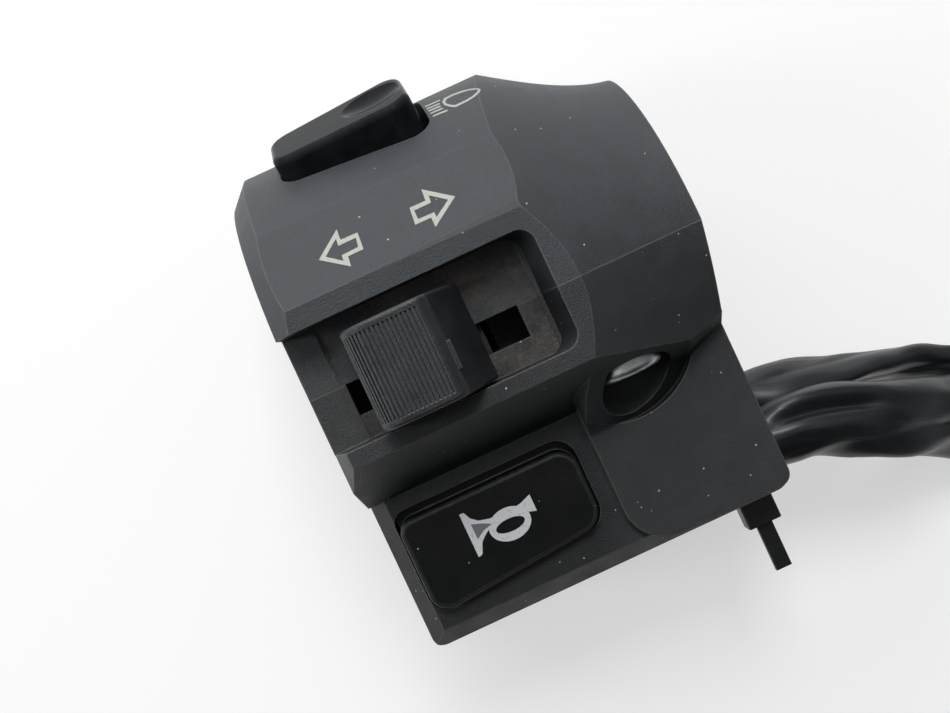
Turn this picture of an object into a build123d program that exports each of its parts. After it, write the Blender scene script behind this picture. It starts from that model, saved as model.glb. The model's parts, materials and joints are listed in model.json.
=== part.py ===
"""Left-hand handlebar switch cluster for a 22 mm bar, in millimetres.

+X runs along the bar from the grip towards the middle of the bike, +Y points up
to the dimmer side, +Z points at the rider, and the origin is on the bar's axis
at the middle of the housing. The housing splits on the plane Y = 0.
"""
from build123d import *
import os
from math import cos, dist, pi, radians, sin, sqrt, tan

os.makedirs("parts", exist_ok=True)

# Handlebar and housing
bar_diameter = 22.2
housing_length = 56.8
shell_wall = 2.2
end_wall = 2.2
inboard_wall = 3.6
wide_cavity_end = 6.0
mid_cavity_end = 15.0
mid_cavity_margin = 6.8
rib_wall = 2.0
rib_places = (-12.0, 4.9, 18.0)
rib_collar = 2.0
back_depth = 25.0
cut_overrun = 3.0
wide_cut = 120.0

# Outer form of the switch box and the barrel
box_radius = 33.3
box_radius_drop = 0.3
box_forward_shift = 0.8
end_chamfer_length = 2.9
end_chamfer_depth = 3.0
front_face_height = 32.0
shoulder_tilt = 8.0
barrel_radius = 25.2
barrel_tip_radius = 24.2
shoulder_places_shares = ((0.57, 1.145, 1.0), (0.71, 0.992, 1.0), (0.84, 0.845, 0.55))
arrow_panel_edge_height = 11.5
arrow_panel_slope = 31.0

# Recess round the turn knob
recess_floor_height = 24.0
recess_floor_wall = 1.8
recess_top = 8.6
recess_bottom = 7.9
recess_right = 6.9
recess_corner_round = 2.2
recess_wall_draft = 12.0
floor_step = 0.5
floor_step_width = 4.4

# Underside valley, horn panel and lower block
valley_crease_drop = 10.2
valley_foot_drop = 16.9
valley_turn_x = 18.5
valley_turn_drop = 17.1
valley_turn_shares = (0.92, -2.39, 1.0)
panel_height = 16.0
pad_rise = 1.5
pad_left = 3.4
pad_corner_round = 6.0
pad_bottom_inset = 1.3
block_drop = 39.2
block_right_inset = 2.1
end_taper_drop = 12.0
block_bevel_drop = 2.6
block_bevel_depth = 3.4
side_bevel_width = 2.3
side_bevel_depth = 3.0
block_corner_round = 1.8

# Housing screws and their inserts
screw_radius = 2.5
screw_hole_radius = 2.75
screw_head_radius = 4.6
screw_head_height = 3.1
screw_seat_drop = 11.8
screw_reach = 9.0
front_screw_x = 12.0
front_screw_z = 20.0
rear_screw_x = -16.5
rear_screw_z = -17.6
counterbore_radius = 5.75
pocket_ball_drop = 15.5
boss_wall = 1.9
boss_radius = 8.6
boss_mouth_drop = 16.3
boss_mouth_rise_shares = (0.45, -1.03, 1.0)
boss_disc_x = 11.2
boss_disc_drop = 9.4
boss_disc_radius = 11.7
insert_radius = 3.4
insert_length = 8.0
screw_slot_width = 1.0
screw_slot_depth = 1.5
screw_slot_length = 5.0
screw_head_round = 0.9
thread_gap = 0.05

# Turn switch
slot_left_inset = 5.2
slot_length = 24.8
slot_height = 4.5
turn_travel = 6.0
push_travel = 1.6
running_gap = 0.3
slide_gap = 0.2
stem_width = 5.4
stem_gap = 0.35
pin_radius = 1.5
pin_clearance = 0.06
push_spring_length = 3.8
knob_left_reach = 9.5
knob_right_reach = 6.3
knob_height = 13.6
knob_bottom = -7.5
knob_floor_gap = 0.1
knob_depth = 12.4
knob_left_round = 4.0
knob_right_round = 2.2
knob_flank_width = 4.5
knob_flank_drop = 9.6
knob_wall = 1.8
knob_rim = 1.0
knob_edge_round = 0.5
rib_count = 27
rib_depth = 0.34
rib_margin = 1.0
rib_pitch = 0.61
rib_groove = 0.34
slider_length = 14.0
slider_margin = 1.45
slider_depth = 5.5
slider_floor = 1.0
slider_wing = 1.0
slider_wing_depth = 1.3
push_spring_wire = 0.4
push_spring_radius = 1.93
push_spring_turns = 3
pin_tip = 0.4
clip_thickness = 0.6
clip_radius = 2.0
clip_inner_radius = 1.2
turn_base_thickness = 1.4
turn_base_gap = 1.4
turn_rail_wall = 1.6
turn_end_wall = 1.8
turn_post_spread = 8.0
contact_dome = 0.5
contact_radius = 0.55
contact_tail = 1.8
contact_inset = 0.65
bridge_thickness = 0.6
bridge_length = 10.0
detent_ball_radius = 1.0
detent_offset = 5.0
detent_height = 2.8
detent_bore_depth = 5.0
detent_reach = 0.55
detent_groove_gap = 0.3
detent_spring_radius = 0.7
detent_spring_wire = 0.25
detent_spring_turns = 5
small_screw_radius = 0.9
small_screw_head = 1.8
small_screw_head_height = 1.2
small_screw_reach = 5.0
small_screw_slot = 0.5
screw_tip_gap = 0.4
small_post_radius = 2.1

# Horn switch
horn_left_inset = 2.6
horn_right = 0.4
horn_top = -20.4
horn_bottom_left = -34.2
horn_bottom_right = -32.0
horn_corner_rounds = (2.8, 3.2, 3.0, 2.0)
horn_face_height = 18.2
horn_edge_round = 0.6
horn_side_gap = 0.35
horn_top_gap = 1.35
horn_skirt = 1.5
horn_flange = 1.1
horn_flange_thickness = 1.4
horn_roof = 2.2
horn_post_radius = 1.8
horn_post_gap = 1.1
horn_hole_gap = 0.4
horn_spring_radius = 3.1
horn_spring_wire = 0.6
horn_spring_turns = 6
horn_base_thickness = 2.2
horn_base_height = 5.4
horn_plate_height = 10.4
horn_contact_spread = 7.0
horn_rivet_rise = 2.2
horn_plate_thickness = 0.6
horn_plate_width = 10.4
horn_plate_reach = 9.0
horn_rivet_radius = 1.1
horn_pillar_x = 4.4
horn_pillar_inset = 1.6
horn_base_right = 6.6
horn_leg_radius = 1.1
horn_leg_spread = 6.0
horn_plate_hole = 3.8
horn_rivet_tail = 1.0

# Dimmer switch, in its own tilted directions
dimmer_lean = 25.0
dimmer_centre_x = -9.1
dimmer_length = 20.6
dimmer_back_w = -6.3
dimmer_face_height = 37.2
dimmer_rest_tilt = 3.6
dimmer_end_gap = 0.55
dimmer_gap = 0.5
dimmer_skirt_height = 28.0
dimmer_pivot_height = 26.6
dimmer_pin_radius = 1.25
dimmer_hub_radius = 3.2
dimmer_end_round = 3.0
dimmer_edge_round = 0.9
dimmer_front_left = 4.9
dimmer_front_right = 8.3
dimmer_skirt = 1.3
dimmer_roof = 2.4
dimmer_hub_width = 6.0
dimmer_tube_width = 4.6
dimmer_tube_end = 20.6
dimmer_plunger_radius = 1.3
dimmer_plunger_length = 3.6
dimmer_plunger_gap = 0.3
dimmer_spring_radius = 0.95
dimmer_spring_wire = 0.25
dimmer_spring_turns = 3
dimmer_plunger_spring = 1.8
dimmer_dish_depth = 0.8
dimmer_dish_radius = 14.0
dimmer_dish_place = 5.6
dimmer_base_height = 15.4
dimmer_base_thickness = 1.6
dimmer_base_length = 20.0
dimmer_cheek = 1.2
dimmer_cheek_top = 29.0
dimmer_cheek_half = 3.4
dimmer_base_margin = 1.0
dimmer_ridge_half = 1.2
dimmer_ridge_gap = 0.05
dimmer_ear_w = -9.5
dimmer_ear_spread = 7.5
dimmer_seesaw_height = 18.2
dimmer_seesaw_thickness = 0.7
dimmer_seesaw_length = 13.0
dimmer_seesaw_width = 4.0
dimmer_seesaw_ratio = -1.5
dimmer_contact_spread = 5.5
dimmer_rivet_radius = 0.9
dimmer_rivet_rise = 0.4
dimmer_rivet_tail = 1.2

# Harness
sleeve_a_diameter = 7.4
sleeve_b_diameter = 8.6
sleeve_a_exit = (-27.9, -6.5)
sleeve_b_exit = (-34.0, 0.4)
sleeve_inside = 12.0
exit_gap = 0.1
bend_share = 0.45
floor_z = -25.0
coil_heading = -25.0
coil_along = 146.6
coil_across = -8.2
coil_radius = 52.0
coil_checks = 90
coil_apart = 4
coil_gap = 1.15
tie_inset = 4.5
tie_width = 2.4
tie_thickness = 1.1
tie_head_width = 5.1
tie_head_drop = 4.6
tie_head_depth = 4.6
tie_head_gap = 0.1
tie_tail_length = 7.4
tie_slot_gap = 0.4
end_run_a = 8.0
end_run_b = 13.0
connector_length = 16.0
connector_width = 14.0
connector_height = 9.5
connector_wall = 1.2
connector_mouth = 10.0
connector_latch_length = 7.0
connector_latch_width = 4.0
connector_latch_rise = 1.4
terminal_width = 0.8
terminal_pitch = 3.9
terminal_length = 8.0
terminal_columns = 3
coil_tie_thickness = 0.8
coil_tie_grip = 0.5
coil_tie_width = 3.6

# Free stretches of the two sleeves, from the block's side to their coil
sleeve_a_route = [
    (26.3, -27.9, -6.5),
    (35.0, -27.9, -6.5),
    (46.0, -31.0, -10.5),
    (57.34, -35.56, -18.2),
    (65.96, -39.8, -21.3),
    (86.23, -48.15, -21.3),
    (106.198, -58.569, -21.3),
    (129.399, -69.388, -21.3),
]
sleeve_b_route = [
    (26.3, -34.0, 0.4),
    (36.0, -34.0, 0.4),
    (48.4, -38.0, -3.7),
    (61.5, -46.0, -15.6),
    (72.57, -52.6, -20.7),
    (87.84, -61.262, -20.7),
    (106.409, -68.763, -20.7),
    (125.532, -77.68, -20.7),
]

# Places that follow from the sizes above
bar_radius = bar_diameter / 2
left_x = -housing_length / 2
right_x = housing_length / 2
block_right = right_x - block_right_inset
shell_inner_radius = box_radius - shell_wall
mid_cavity_radius = box_radius - mid_cavity_margin
barrel_inner_radius = barrel_radius - shell_wall - pad_rise
floor_inner_height = recess_floor_height - recess_floor_wall
panel_inner_height = panel_height - shell_wall
slot_left = left_x + slot_left_inset
slot_right = slot_left + slot_length
slot_middle_x = (slot_left + slot_right) / 2
slot_middle_y = -slot_height / 2
valley_run = front_face_height - panel_height
valley_fall = valley_foot_drop - valley_crease_drop
back_inner = -back_depth + shell_wall
housing_screw_places = (
    (front_screw_x, front_screw_z, -pocket_ball_drop, counterbore_radius),
    (rear_screw_x, rear_screw_z, -block_drop - cut_overrun, screw_head_radius + stem_gap),
)
slider_bottom = floor_inner_height - running_gap - slider_depth
slider_half_width = slot_height / 2 + slider_margin
rail_inner = slider_half_width + slide_gap
rail_outer = rail_inner + turn_rail_wall
turn_base_top = slider_bottom - turn_base_gap
turn_post_y = slot_middle_y - rail_outer - small_post_radius
turn_post_places = (slot_middle_x - turn_post_spread, slot_middle_x + turn_post_spread)
knob_base = recess_floor_height + floor_step + push_travel + knob_floor_gap
stem_end = slider_bottom + slider_floor + push_spring_length
horn_post_places = (horn_top - horn_pillar_inset, horn_bottom_left + horn_pillar_inset)
dimmer_ear_top = dimmer_base_height + dimmer_base_thickness
dimmer_post_places = (-dimmer_ear_spread, dimmer_ear_spread)
harness_exits = ((sleeve_a_exit, sleeve_a_diameter), (sleeve_b_exit, sleeve_b_diameter))
tie_strap_z = sleeve_b_exit[1] + sleeve_b_diameter / 2
slider_top = slider_bottom + slider_depth
wing_bottom = slider_top - slider_wing_depth
contact_places = [
    (slot_middle_x + step * turn_travel, slot_middle_y + side * (slider_half_width - contact_inset))
    for step in (-1, 0, 1)
    for side in (-1, 1)
]
detent_x = slot_middle_x - detent_offset
detent_y = slot_middle_y + slider_half_width + detent_reach - detent_ball_radius
detent_z = slider_bottom + detent_height
horn_left = left_x + horn_left_inset
horn_middle_x = (horn_left + horn_right) / 2
tie_middle_x = block_right - tie_inset
horn_middle_y = (horn_top + (horn_bottom_left + horn_bottom_right) / 2) / 2
horn_base_bottom = horn_base_height - horn_base_thickness
horn_contact_places = [(horn_middle_x + side * horn_contact_spread, horn_middle_y) for side in (-1, 1)]
cheek_inner = dimmer_hub_width / 2 + running_gap
cheek_outer = cheek_inner + dimmer_cheek
plunger_tip = dimmer_seesaw_height + dimmer_seesaw_thickness + dimmer_plunger_gap
plunger_top = plunger_tip + dimmer_plunger_length
coil_step = (sleeve_a_diameter + sleeve_b_diameter) / 2 + coil_gap


def block(x_range, y_range, z_range):
    """A box between two corners given as ranges."""
    size = [high - low for low, high in (x_range, y_range, z_range)]
    middle = [(high + low) / 2 for low, high in (x_range, y_range, z_range)]
    return Pos(*middle) * Box(*size)


def prism_along_x(points, x_range):
    """A prism along the bar from an outline of (Y, Z) points."""
    outline = Polyline([(x_range[0], y, z) for y, z in points], close=True)
    return extrude(make_face(outline), amount=x_range[1] - x_range[0], dir=(1, 0, 0))


def prism_along_y(points, y_range):
    """A prism along Y from an outline of (X, Z) points."""
    outline = Polyline([(x, y_range[0], z) for x, z in points], close=True)
    return extrude(make_face(outline), amount=y_range[1] - y_range[0], dir=(0, 1, 0))


def prism_along_z(points, z_range):
    """A prism towards the rider from an outline of (X, Y) points."""
    outline = Polyline([(x, y, z_range[0]) for x, y in points], close=True)
    return extrude(make_face(outline), amount=z_range[1] - z_range[0], dir=(0, 0, 1))


def rod(axis, centre, radius, span):
    """A round bar along X, Y or Z; centre gives its other two coordinates."""
    length = span[1] - span[0]
    middle = (span[0] + span[1]) / 2
    if axis == "X":
        return Pos(middle, *centre) * Rot(0, 90, 0) * Cylinder(radius, length)
    if axis == "Y":
        return Pos(centre[0], middle, centre[1]) * Rot(90, 0, 0) * Cylinder(radius, length)
    return Pos(*centre, middle) * Cylinder(radius, length)


def spring_along_z(centre, z_range, radius, wire, turns):
    """A compression spring of round wire with its axis along Z."""
    height = z_range[1] - z_range[0] - wire
    path = Helix(height / turns, height, radius)
    start = path @ 0
    section = Plane(origin=start, z_dir=path % 0) * Circle(wire / 2)
    return Pos(*centre, z_range[0] + wire / 2) * sweep(section, path=path)


def beyond(point, normal):
    """Everything past a slanted plane, on the side that its normal points to."""
    plane = Plane(origin=point, z_dir=normal)
    return plane * (Pos(0, 0, wide_cut / 2) * Box(wide_cut, wide_cut, wide_cut))


def clam_form():
    """Outer form of the closed housing: the switch box, its chamfered outboard
    end and the tilted shoulder that draws it in to the barrel."""
    axis_z = box_forward_shift
    chamfer_x = left_x + end_chamfer_length
    end_radius = box_radius - end_chamfer_depth
    tip_radius = box_radius - box_radius_drop
    profile = [
        (left_x, axis_z),
        (left_x, axis_z + end_radius),
        (chamfer_x, axis_z + box_radius),
        (right_x, axis_z + tip_radius),
        (right_x, axis_z),
    ]
    outline = Polyline([(x, 0, z) for x, z in profile], close=True)
    box_form = revolve(make_face(outline), axis=Axis((0, 0, axis_z), (1, 0, 0)))
    sections = []
    for place, girth, tilt in shoulder_places_shares:
        lean = radians(shoulder_tilt * tilt)
        middle = (left_x + housing_length * place, 0, axis_z * tilt)
        plane = Plane(origin=middle, x_dir=(0, 1, 0), z_dir=(cos(lean), 0, sin(lean)))
        sections.append(plane * Circle(box_radius * girth))
    for x, radius in ((right_x - end_chamfer_length, barrel_radius),
                      (right_x + end_chamfer_length, barrel_tip_radius)):
        plane = Plane(origin=(x, 0, 0), x_dir=(0, 1, 0), z_dir=(1, 0, 0))
        sections.append(plane * Circle(radius))
    shoulder = loft(sections)
    first_x = left_x + housing_length * shoulder_places_shares[0][0]
    outboard = rod("X", (0, 0), wide_cut / 2,
                   (left_x - cut_overrun, first_x + end_chamfer_length / 2))
    form = box_form & (shoulder + outboard)
    form -= block((left_x - wide_cut, right_x + wide_cut), (-wide_cut, wide_cut),
                  (front_face_height, wide_cut))
    form -= block((left_x - wide_cut, right_x + wide_cut), (-wide_cut, wide_cut),
                  (-wide_cut, -back_depth))
    return form


def recess_cutter():
    """The space of the thumb recess, open at the outboard end."""
    draft = (front_face_height - recess_floor_height) * tan(radians(recess_wall_draft))
    foot = recess_right - draft
    low_step = recess_floor_height + floor_step
    outline = [
        (left_x - cut_overrun, low_step),
        (foot, low_step),
        (recess_right, front_face_height),
        (recess_right, front_face_height + cut_overrun),
        (left_x - cut_overrun, front_face_height + cut_overrun),
    ]
    cutter = prism_along_y(outline, (-recess_bottom, recess_top))
    corners = [edge for edge in cutter.edges()
               if edge.center().X > foot and abs(edge.tangent_at(0.5).Y) < 0.5
               and abs(edge.tangent_at(0.5).Z) > 0.5]
    cutter = fillet(corners, recess_corner_round)
    lower_floor = block((slot_left, foot - floor_step), (-recess_bottom, 0),
                        (recess_floor_height, low_step))
    upper_floor = block((left_x + floor_step_width, foot - floor_step), (0, recess_top),
                        (recess_floor_height, low_step))
    return cutter + lower_floor + upper_floor


def bar_ribs(y_range):
    """Ribs that carry the bar between the end walls, as solids to keep."""
    ribs = []
    for place in rib_places:
        span = (place - rib_wall / 2, place + rib_wall / 2)
        collar = rod("X", (0, 0), bar_radius + rib_collar, span)
        web = block(span, (-bar_radius - rib_collar, bar_radius + rib_collar),
                    (-back_depth, 0))
        ribs.append((collar + web) & block(span, y_range, (-back_depth, back_depth)))
    return ribs


def upper_housing():
    """The top half: arrow panel, lip over the recess and the dimmer opening."""
    half = block((left_x, right_x), (0, wide_cut), (-wide_cut, wide_cut))
    shell = clam_form() & half
    fall = (wide_cut - arrow_panel_edge_height) * tan(radians(arrow_panel_slope))
    panel = [
        (arrow_panel_edge_height, front_face_height),
        (arrow_panel_edge_height, wide_cut),
        (wide_cut, wide_cut),
        (wide_cut, front_face_height - fall),
    ]
    shell -= prism_along_x(panel, (left_x - cut_overrun, right_x + cut_overrun))
    shell -= recess_cutter()
    inner_left = left_x + end_wall
    cavity = rod("X", (0, box_forward_shift), shell_inner_radius, (inner_left, wide_cavity_end))
    cavity += rod("X", (0, 0), mid_cavity_radius, (inner_left, mid_cavity_end))
    cavity += rod("X", (0, 0), barrel_inner_radius, (inner_left, right_x - inboard_wall))
    slant = shell_wall / cos(radians(arrow_panel_slope))
    inner_panel = [(y, z - slant) for y, z in panel]
    cavity -= prism_along_x(inner_panel, (left_x, right_x))
    cavity -= block((left_x, right_x), (-wide_cut, recess_top + shell_wall),
                    (floor_inner_height, wide_cut))
    cavity -= block((left_x, right_x), (-wide_cut, wide_cut), (-wide_cut, back_inner))
    cavity &= half
    for rib in bar_ribs((0, back_depth)):
        cavity -= rib
    boss_top = insert_length + boss_wall * 2
    for x, z, seat_end, radius in housing_screw_places:
        cavity -= rod("Y", (x, z), insert_radius + boss_wall, (0, boss_top))
    for x in dimmer_post_places:
        cavity -= in_dimmer(rod("Y", (x, dimmer_ear_w), small_post_radius,
                                (dimmer_ear_top, box_radius)))
    shell -= cavity
    shell -= rod("X", (0, 0), bar_radius, (left_x - cut_overrun, right_x + cut_overrun))
    for x, z, seat_end, radius in housing_screw_places:
        shell -= rod("Y", (x, z), insert_radius, (-cut_overrun, insert_length))
        shell -= rod("Y", (x, z), screw_hole_radius, (0, boss_top - boss_wall / 2))
    for x in dimmer_post_places:
        shell -= in_dimmer(rod("Y", (x, dimmer_ear_w), small_screw_radius + thread_gap,
                               (dimmer_ear_top - cut_overrun,
                                dimmer_ear_top + small_screw_reach)))
    shell -= in_dimmer(dimmer_prism(dimmer_end_gap, dimmer_gap,
                                    (dimmer_skirt_height - cut_overrun, wide_cut / 2)))
    return shell


def dimmer_prism(end_grow, side_grow, height_range):
    """Prism of the rocker's outline seen from above, its front edge skewed."""
    half = dimmer_length / 2
    points = [
        (-half - end_grow, dimmer_back_w - side_grow),
        (half + end_grow, dimmer_back_w - side_grow),
        (half + end_grow, dimmer_front_right + side_grow),
        (-half - end_grow, dimmer_front_left + side_grow),
    ]
    prism = prism_along_y(points, height_range)
    return fillet(prism.edges().filter_by(Axis.Y), dimmer_end_round)


def in_dimmer(shape):
    """Places a shape drawn about the dimmer's own upright: X along the bar, Y
    out along the leaning radius, Z across it towards the rider."""
    return Pos(dimmer_centre_x, 0, 0) * Rot(dimmer_lean, 0, 0) * shape


def pocket_ball(radius):
    """Ball about the rounded bottom of the front screw's pocket."""
    return Pos(front_screw_x, -pocket_ball_drop, front_screw_z) * Sphere(radius)


def lower_housing():
    """The bottom half: recess floor with its slot, the valley under the rim,
    the horn panel, the raised pad beside it and the block behind them."""
    half = block((left_x, right_x), (-wide_cut, 0), (-wide_cut, wide_cut))
    shell = clam_form() & half
    slope = valley_run / valley_fall
    depth = box_radius
    valley = [
        (-valley_crease_drop, front_face_height),
        (-valley_crease_drop - depth, front_face_height - depth * slope),
        (-wide_cut, front_face_height - depth * slope),
        (-wide_cut, wide_cut),
        (-valley_crease_drop, wide_cut),
    ]
    shell -= prism_along_x(valley, (left_x - cut_overrun, right_x + cut_overrun))
    shell -= beyond((valley_turn_x, -valley_turn_drop, panel_height + pad_rise), valley_turn_shares)
    mouth = beyond((front_screw_x, -boss_mouth_drop, front_screw_z), boss_mouth_rise_shares)
    disc = rod("Z", (boss_disc_x, -boss_disc_drop), boss_disc_radius, (-back_depth, front_face_height))
    pad_top_drop = valley_crease_drop + (front_face_height - panel_height - pad_rise) / slope
    lip = disc & block((front_screw_x - boss_radius, right_x), (-wide_cut, -pad_top_drop),
                       (panel_inner_height, front_face_height))
    box_block = block((left_x, block_right), (-block_drop, -screw_seat_drop),
                      (-back_depth, panel_height))
    corners = [edge for edge in box_block.edges().filter_by(Axis.Z) if edge.center().Y < -valley_foot_drop]
    box_block = fillet(corners, block_corner_round) - bottom_bevel()
    shell += box_block
    pad = block((pad_left, block_right), (-block_drop + pad_bottom_inset, -screw_seat_drop),
                (panel_height - block_bevel_depth, panel_height + pad_rise))
    low_edges = [edge for edge in pad.edges().filter_by(Axis.Z) if edge.center().Y < -valley_foot_drop]
    low_edges.sort(key=lambda edge: edge.center().X)
    pad = fillet(low_edges[:1], pad_corner_round)
    right_edge = [edge for edge in pad.edges().filter_by(Axis.Z)
                  if edge.center().Y < -valley_foot_drop and edge.center().X > front_screw_x]
    pad = fillet(right_edge, block_corner_round)
    shell += pad
    shell -= lip & mouth
    front_boss = disc & rod("Y", (front_screw_x, front_screw_z), boss_radius, (-wide_cut, 0))
    front_boss -= mouth
    front_boss &= clam_form()
    shell += front_boss
    shell -= recess_cutter()
    shell -= end_taper()
    shell -= side_bevel()
    shell -= rim_bevel()
    cavity = lower_cavity()
    shell -= cavity
    shell -= rod("X", (0, 0), bar_radius, (left_x - cut_overrun, right_x + cut_overrun))
    for x, z, seat_end, radius in housing_screw_places:
        shell -= rod("Y", (x, z), screw_hole_radius, (-screw_seat_drop - cut_overrun, cut_overrun))
        shell -= rod("Y", (x, z), radius, (seat_end, -screw_seat_drop))
    shell -= pocket_ball(counterbore_radius)
    shell -= block((slot_left, slot_right), (-slot_height, cut_overrun),
                   (floor_inner_height - cut_overrun, recess_floor_height + cut_overrun))
    shell -= horn_opening()
    for (y, z), diameter in harness_exits:
        shell -= rod("X", (y, z), diameter / 2 + exit_gap,
                     (block_right - sleeve_inside - cut_overrun, block_right + cut_overrun))
    tie_half = tie_width / 2 + tie_slot_gap
    tie_reach = tie_strap_z + tie_thickness + tie_slot_gap
    shell -= block((tie_middle_x - tie_half, tie_middle_x + tie_half),
                   (-block_drop - cut_overrun, -block_drop + shell_wall * 2),
                   (2 * sleeve_b_exit[1] - tie_reach, tie_reach))
    for x in turn_post_places:
        shell -= rod("Z", (x, turn_post_y), small_screw_radius + thread_gap,
                     (turn_base_top - cut_overrun, turn_base_top + small_screw_reach))
    for y in horn_post_places:
        shell -= rod("Z", (horn_pillar_x, y), small_screw_radius + thread_gap,
                     (horn_base_height - cut_overrun, horn_base_height + small_screw_reach))
    return shell


def end_taper():
    """Takes the inboard end in from the barrel's edge to the block's side."""
    outline = [
        (right_x, 0),
        (block_right, -end_taper_drop),
        (block_right, -wide_cut),
        (right_x + cut_overrun, -wide_cut),
        (right_x + cut_overrun, 0),
    ]
    return prism_along_z(outline, (-wide_cut, wide_cut))


def side_bevel():
    """Bevel down the outboard front edge of the panel."""
    outline = [
        (left_x - cut_overrun, panel_height + cut_overrun),
        (left_x - cut_overrun, panel_height - side_bevel_depth * (1 + cut_overrun / side_bevel_width)),
        (left_x + side_bevel_width, panel_height),
        (left_x + side_bevel_width, panel_height + cut_overrun),
    ]
    return prism_along_y(outline, (-block_drop - cut_overrun, -valley_foot_drop))


def bottom_bevel():
    """Bevel along the front bottom edge of the panel."""
    low = -block_drop
    outline = [
        (low + block_bevel_drop, panel_height),
        (low - cut_overrun, panel_height - block_bevel_depth * (1 + cut_overrun / block_bevel_drop)),
        (low - cut_overrun, panel_height + cut_overrun),
        (low + block_bevel_drop, panel_height + cut_overrun),
    ]
    return prism_along_x(outline, (left_x - cut_overrun, right_x))


def rim_bevel():
    """Bevel on the outboard end of the rim below the recess."""
    outline = [
        (left_x - cut_overrun, recess_floor_height),
        (left_x, recess_floor_height),
        (left_x + side_bevel_width, front_face_height),
        (left_x + side_bevel_width, front_face_height + cut_overrun),
        (left_x - cut_overrun, front_face_height + cut_overrun),
    ]
    return prism_along_y(outline, (-block_drop, -recess_bottom))


def lower_cavity():
    """Hollow of the lower half, less the ribs, posts and wells that stay."""
    slope = valley_run / valley_fall
    slant = shell_wall * sqrt(1 + slope ** 2) / slope
    floor_end = valley_crease_drop + (front_face_height - floor_inner_height) / slope - slant
    foot_end = valley_crease_drop + (front_face_height - panel_inner_height) / slope - slant
    outline = [
        (0, floor_inner_height),
        (-floor_end, floor_inner_height),
        (-foot_end, panel_inner_height),
        (-block_drop + shell_wall, panel_inner_height),
        (-block_drop + shell_wall, back_inner),
        (0, back_inner),
    ]
    inner_left = left_x + end_wall
    cavity = prism_along_x(outline, (inner_left, wide_cavity_end))
    barrel = rod("X", (0, 0), barrel_inner_radius, (inner_left, right_x - inboard_wall - end_wall))
    barrel += rod("X", (0, 0), mid_cavity_radius, (inner_left, mid_cavity_end))
    barrel &= prism_along_x(outline, (inner_left, right_x))
    barrel -= block((left_x, right_x), (0, wide_cut), (-wide_cut, wide_cut))
    cavity += barrel
    cavity += block((inner_left, block_right - end_wall), (-block_drop + shell_wall, -valley_foot_drop),
                    (back_inner, panel_inner_height))
    for rib in bar_ribs((-back_depth, 0)):
        cavity -= rib
    for x, z, seat_end, radius in housing_screw_places:
        cavity -= rod("Y", (x, z), radius + boss_wall, (seat_end, -screw_seat_drop + boss_wall))
        cavity -= rod("Y", (x, z), screw_hole_radius + boss_wall, (-screw_seat_drop, 0))
    cavity -= pocket_ball(counterbore_radius + boss_wall)
    for x in turn_post_places:
        cavity -= rod("Z", (x, turn_post_y), small_post_radius,
                      (turn_base_top, front_face_height))
    for y in horn_post_places:
        cavity -= rod("Z", (horn_pillar_x, y), small_post_radius,
                      (horn_base_height, panel_height))
    ledge = (horn_base_height - horn_base_thickness - shell_wall, horn_base_height - horn_base_thickness)
    cavity -= block((inner_left, inner_left + shell_wall),
                    (horn_bottom_right, horn_top), ledge)
    return cavity


def horn_outline(grow, top_grow):
    """Rounded quadrilateral of the horn button, grown by a gap."""
    points = [
        (horn_left - grow, horn_bottom_left - grow),
        (horn_right + grow, horn_bottom_right - grow),
        (horn_right + grow, horn_top + top_grow),
        (horn_left - grow, horn_top + top_grow),
    ]
    return points


def horn_prism(grow, top_grow, z_range):
    """Prism of the horn outline with its four upright edges rounded."""
    prism = prism_along_z(horn_outline(grow, top_grow), z_range)
    for k, (x, y) in enumerate(horn_outline(grow, top_grow)):
        near = prism.edges().filter_by(Axis.Z).sort_by_distance((x, y, z_range[0]))[0]
        prism = fillet([near], horn_corner_rounds[k])
    return prism


def horn_opening():
    """The hole in the panel that the horn button stands in."""
    return horn_prism(horn_side_gap, horn_top_gap,
                      (panel_inner_height - cut_overrun, panel_height + cut_overrun))


def housing_screws():
    """Both housing screws: pan heads with a cross slot, shanks up into the inserts."""
    screws = []
    for x, z, seat_end, radius in housing_screw_places:
        head_end = -screw_seat_drop - screw_head_height
        head = rod("Y", (x, z), screw_head_radius, (head_end, -screw_seat_drop))
        rim = [edge for edge in head.edges() if edge.center().Y < head_end + screw_slot_depth]
        head = fillet(rim, screw_head_round)
        cut = (head_end - cut_overrun, head_end + screw_slot_depth)
        half_width = screw_slot_width / 2
        half_length = screw_slot_length / 2
        head -= block((x - half_width, x + half_width), cut, (z - half_length, z + half_length))
        head -= block((x - half_length, x + half_length), cut, (z - half_width, z + half_width))
        screws.append(head + rod("Y", (x, z), screw_radius, (-screw_seat_drop, screw_reach)))
    return Compound(children=screws)


def housing_inserts():
    """Threaded brass inserts moulded into the upper half."""
    inserts = []
    for x, z, seat_end, radius in housing_screw_places:
        insert = rod("Y", (x, z), insert_radius, (0, insert_length))
        inserts.append(insert - rod("Y", (x, z), screw_radius + thread_gap,
                                    (-cut_overrun, insert_length + cut_overrun)))
    return Compound(children=inserts)


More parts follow.
